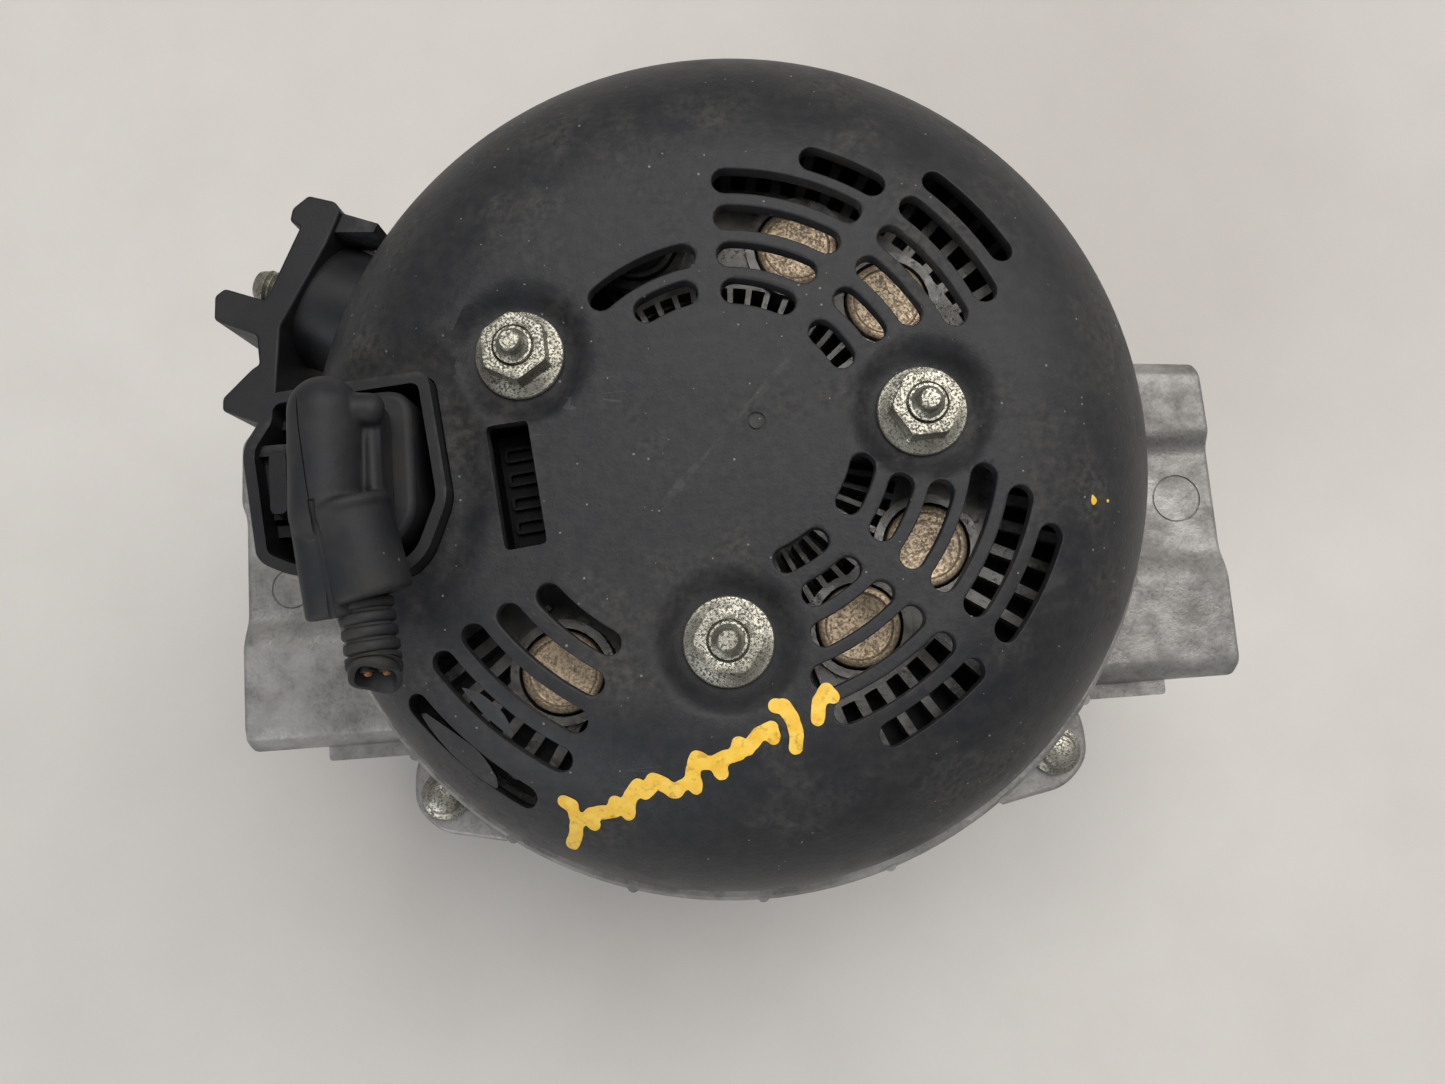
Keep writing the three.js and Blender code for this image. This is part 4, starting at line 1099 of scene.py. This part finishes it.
def make_front_casting():
    inside = FRAME_RADIUS - 5
    seat = 23.8
    profile = [
        (seat, 53), (seat, 37.6), (24.4, 37), (27.4, 35.2), (28, 35.6), (30, 48.5), (31.5, 50), (54, 50),
        (62, 52.6), (64.6, 54.2), (67.4, 59), (67.8, 60.5), (67.8, 71.6), (67.4, 72), (CORE_SEAT, 72),
        (CORE_SEAT, CORE_LOW.z - 0.3),
        (inside, CORE_LOW.z - 0.3), (inside, 60), (inside - 4, 54.5), (28, 54.5),
    ]
    shell = lathe(profile, 144)
    core = cylinder(CORE_SEAT, CORE_LOW.z - 0.3, 110, 144)
    hollow = lathe([(0, 50.5), (54, 50.5), (inside, 60), (inside, 110), (0, 110)], 144, ring=False)
    right, left = make_ear(), moved(make_ear(), scale=(-1, 1, 1))
    for v in left.verts:
        v.co.x -= 1.3 if v.co.x < -80 else 0
        v.co.y -= 0.9 if v.co.y < -36 else 0
    bmesh.ops.reverse_faces(left, faces=left.faces)
    outside = [lug(a, 58, 84) for a in BOLT_ANGLES] + [right, left]
    outside = [carve(part, core.copy(), hollow.copy()) for part in outside]
    shell = fuse(shell, *outside)
    vents = [prism(band(33.5, 51, 45 * i + 6, 45 * i + 38, 12), 48, 56) for i in range(8)]
    sides = bars_at(VENT_ANGLES, (-3, 57.5), (3, 65))
    screws = [rod(1.7, 50, 56, polar(29.5, a), 16) for a in (18, 126, 270)]
    bolts = [rod(BOLT_HOLE, 70, 90, b, 20) for b in BOLTS]
    shell = carve(shell, joined(vents), sides, joined(screws), joined(bolts))
    for turned in (1, -1):
        bores = []
        for radius, reach in ((5.2, 40), (7.8, EAR_BOTTOM + 14)):
            bores.append(moved(cylinder(radius, -50, reach, 48), turn=ALONG_Y, at=(81 * turned, 0, 60)))
        shell = carve(shell, *bores)
    # Marks left by the pins that push the casting out of its mould.
    for x, y, radius in ((82.1, -5.9, 4.4), (-81.9, -10.2, 3.8)):
        shell = carve(shell, moved(tube(radius - 0.35, radius, 80, 92), at=(x, y, 7.15)))
    piece("front_casting", shell, CAST, "cast_alloy", "front_bracket")


make_rear_casting()
make_front_casting()
for number, bolt in enumerate(BOLTS, 1):
    low, high = heights(f"through_bolt_{number}")
    seat = high - 3.6
    head = [(2.2, 0), (3.8, 0), (3.95, 0.2), (3.95, 0.9), (3.7, 1.1), (3.1, 1.2), (2.9, 1.35), (2.85, 2.7)]
    head += [(2.5, 3.3), (1.9, 3.6), (0, 3.6)]
    head = lathe([(0, low), (2.2, low)] + [(radius, seat + rise) for radius, rise in head], 48, ring=False)
    piece(f"frame_bolt_{number}", moved(head, at=(bolt.x, bolt.y, 0)), ZINC, "bright_steel",
          f"through_bolt_{number}")


# ---- Stator core and drive end ----
def make_core():
    """The laminated ring with a slot for each of its 36 bundles of winding."""
    teeth = []
    for i in range(36):
        a = 10 * i
        teeth += [polar(61.5, a - 3), polar(61.5, a + 3), polar(49.6, a + 3.4), polar(49.6, a + 6.6)]
    body = prism(arc(65.9, 0, 357.5, 143), CORE_LOW.z, CORE_HIGH.z)
    bore = prism(teeth, CORE_LOW.z - 1, CORE_HIGH.z + 1)
    piece("core_stack", carve(body, bore), LAMINATED, "laminated_steel", "stator_core")


make_core()


def make_pulley():
    low, high = heights("drive_pulley")
    profile = [(17, low + 0.4), (17.4, low), (27.4, low), (28, low + 0.5), (28, low + 3.2)]
    for i in range(6):
        rib = ((28, 0), (27.85, 0.12), (25.35, 1.45), (25.2, 1.6), (25.35, 1.75), (27.85, 3.08))
        profile += [(radius, low + 3.8 + 3.56 * i + rise) for radius, rise in rib]
    profile += [(28, low + 25), (28, high - 0.8), (27.2, high), (8.8, high), (8.8, low + 16), (17, low + 16)]
    made = lathe(profile, 120)
    piece("grooved_pulley", made, PHOSPHATE, "pulley_steel", "drive_pulley", body=ROTOR)


make_pulley()
low, high = heights("pulley_nut")
nut = moved(hexagon(13.8, 0, high - low, 1.4), turn=about("X", 180), at=(0, 0, high))
nut = carve(nut, cylinder(8.8, low - 2, high + 2, 48))
piece("shaft_nut", nut, ZINC, "zinc_steel", "pulley_nut", body=ROTOR)


# ---- Marker strokes on the cover ----
def make_strokes():
    """Plain brushed dabs that stand for a yard's handwritten mark. They spell nothing."""
    random.seed(5)
    first, last = Vector((-24.2, -50.6, 0)), Vector((10.2, -36.9, 0))
    hook = [(-1.6, -2.6), (-0.5, -1.4), (0.2, 0.4), (0.3, 2.2), (-0.6, 3.0)]
    wave = [(-2.5, 0.5), (-1.3, 1.7), (-0.3, 0.6), (0.7, -1.1), (2.3, -0.5)]
    dash = [(-1.5, -1.7), (-0.6, 0.6), (0.9, 1.9), (1.7, 0.3)]
    marks = []
    shapes = (hook, wave, dash, wave, dash, wave, dash, hook, dash)
    for i, (shape, turned) in enumerate(zip(shapes, (8, 62, 12, 14, 34, 74, -18, 28, 8))):
        t = i / 8
        place = first.lerp(last, t) + Vector((0.2, -0.7, 0)) * math.sin(t * math.pi)
        turn = Matrix.Rotation(math.radians(turned + random.uniform(-6, 6)), 3, "Z")
        size = (1.18 if shape is hook else 1.02) * (1 - 0.1 * t)
        points = [place + turn @ p * size for p in flat(shape)]
        for a, b in zip(points, points[1:]):
            for j in range(6):
                marks.append((a.lerp(b, j / 6), 0.9 + random.uniform(-0.1, 0.14)))
    # Crumbs of the same paint that dropped beside the vents.
    for i in range(6):
        place = Vector((49.2, -12.4, 0)) + polar(3.2 * random.random(), 60 * i)
        marks.append((place, random.uniform(0.2, 0.34)))
    dabs = [moved(cylinder(radius, -1.6, 1.6, 12), at=(p.x, p.y, cover_height(p))) for p, radius in marks]
    brushed = remelt(joined(dabs), 0.3, 1)
    # The paint is as thick as the gap between two copies of the cover's shoulder.
    above, below = shoulder(-0.1, 40)[:-8], shoulder(0.3, 40)[:-8]
    film = lathe([(20, TOP + 0.1), *above, *below[::-1], (20, TOP - 0.3)], 240)
    piece("marker_strokes", boolean(brushed, film, "INTERSECT"), PAINT, "marker_paint", crease=60)


make_strokes()


# ---- Floor, light and camera ----
def make_floor():
    bm = bmesh.new()
    bmesh.ops.create_grid(bm, x_segments=2, y_segments=2, size=6.0)
    thing = object_from(bm, "floor")
    made = Finish("pale floor", roughness=0.75, specular=0.2)
    made.ground(made.patches(5, 0.5, 0.25), (0.60, 0.575, 0.54), (0.645, 0.62, 0.588))
    made.lay(made.patches(30, 0.4, 0.25), (0.56, 0.53, 0.50), 0.4)
    made.feed("Base Color", made.colour)
    made.bump(made.grain(500, 0.05))
    thing.data.materials.append(made.material)


def soft_light(name, place, size, power, colour):
    """A panel that faces the middle of the part."""
    lamp = bpy.data.lights.new(name, "AREA")
    lamp.shape, lamp.size, lamp.size_y = "RECTANGLE", *size
    lamp.energy, lamp.color = power, colour
    thing = bpy.data.objects.new(name, lamp)
    thing.location = place
    thing.rotation_euler = (Vector((0, 0, 0.09)) - Vector(place)).to_track_quat("-Z", "Y").to_euler()
    bpy.context.scene.collection.objects.link(thing)


def make_studio():
    soft_light("ceiling panel", (0.25, 0.5, 1.45), (1.4, 0.9), 17.8, (1.0, 0.978, 0.955))
    soft_light("window side", (1.0, 0.6, 0.8), (0.7, 0.7), 4.0, (1.0, 0.96, 0.92))
    soft_light("cool fill", (-0.8, -0.85, 0.8), (0.9, 0.9), 8.0, (0.92, 0.95, 1.0))
    world = bpy.data.worlds.new("room")
    world.use_nodes = True
    background = world.node_tree.nodes["Background"]
    background.inputs["Color"].default_value = (0.78, 0.78, 0.78, 1)
    background.inputs["Strength"].default_value = 0.25
    bpy.context.scene.world = world
    bpy.context.scene.view_settings.view_transform = "Standard"


def make_camera():
    lens = bpy.data.cameras.new("camera")
    lens.lens, lens.sensor_width, lens.sensor_fit = 29.9, 36.0, "HORIZONTAL"
    lens.clip_start, lens.clip_end = 0.01, 50
    thing = bpy.data.objects.new("camera", lens)
    # The rows are the camera's right, its up and the way back from what it sees.
    axes = Matrix(((0.9971, -0.0740, -0.0159), (0.0753, 0.9909, 0.1113), (0.0075, -0.1122, 0.9937)))
    axes.transpose()
    thing.matrix_world = Matrix.Translation((-0.00023, -0.03247, 0.30778)) @ axes.to_4x4()
    bpy.context.scene.collection.objects.link(thing)
    bpy.context.scene.camera = thing


make_floor()
make_studio()
make_camera()
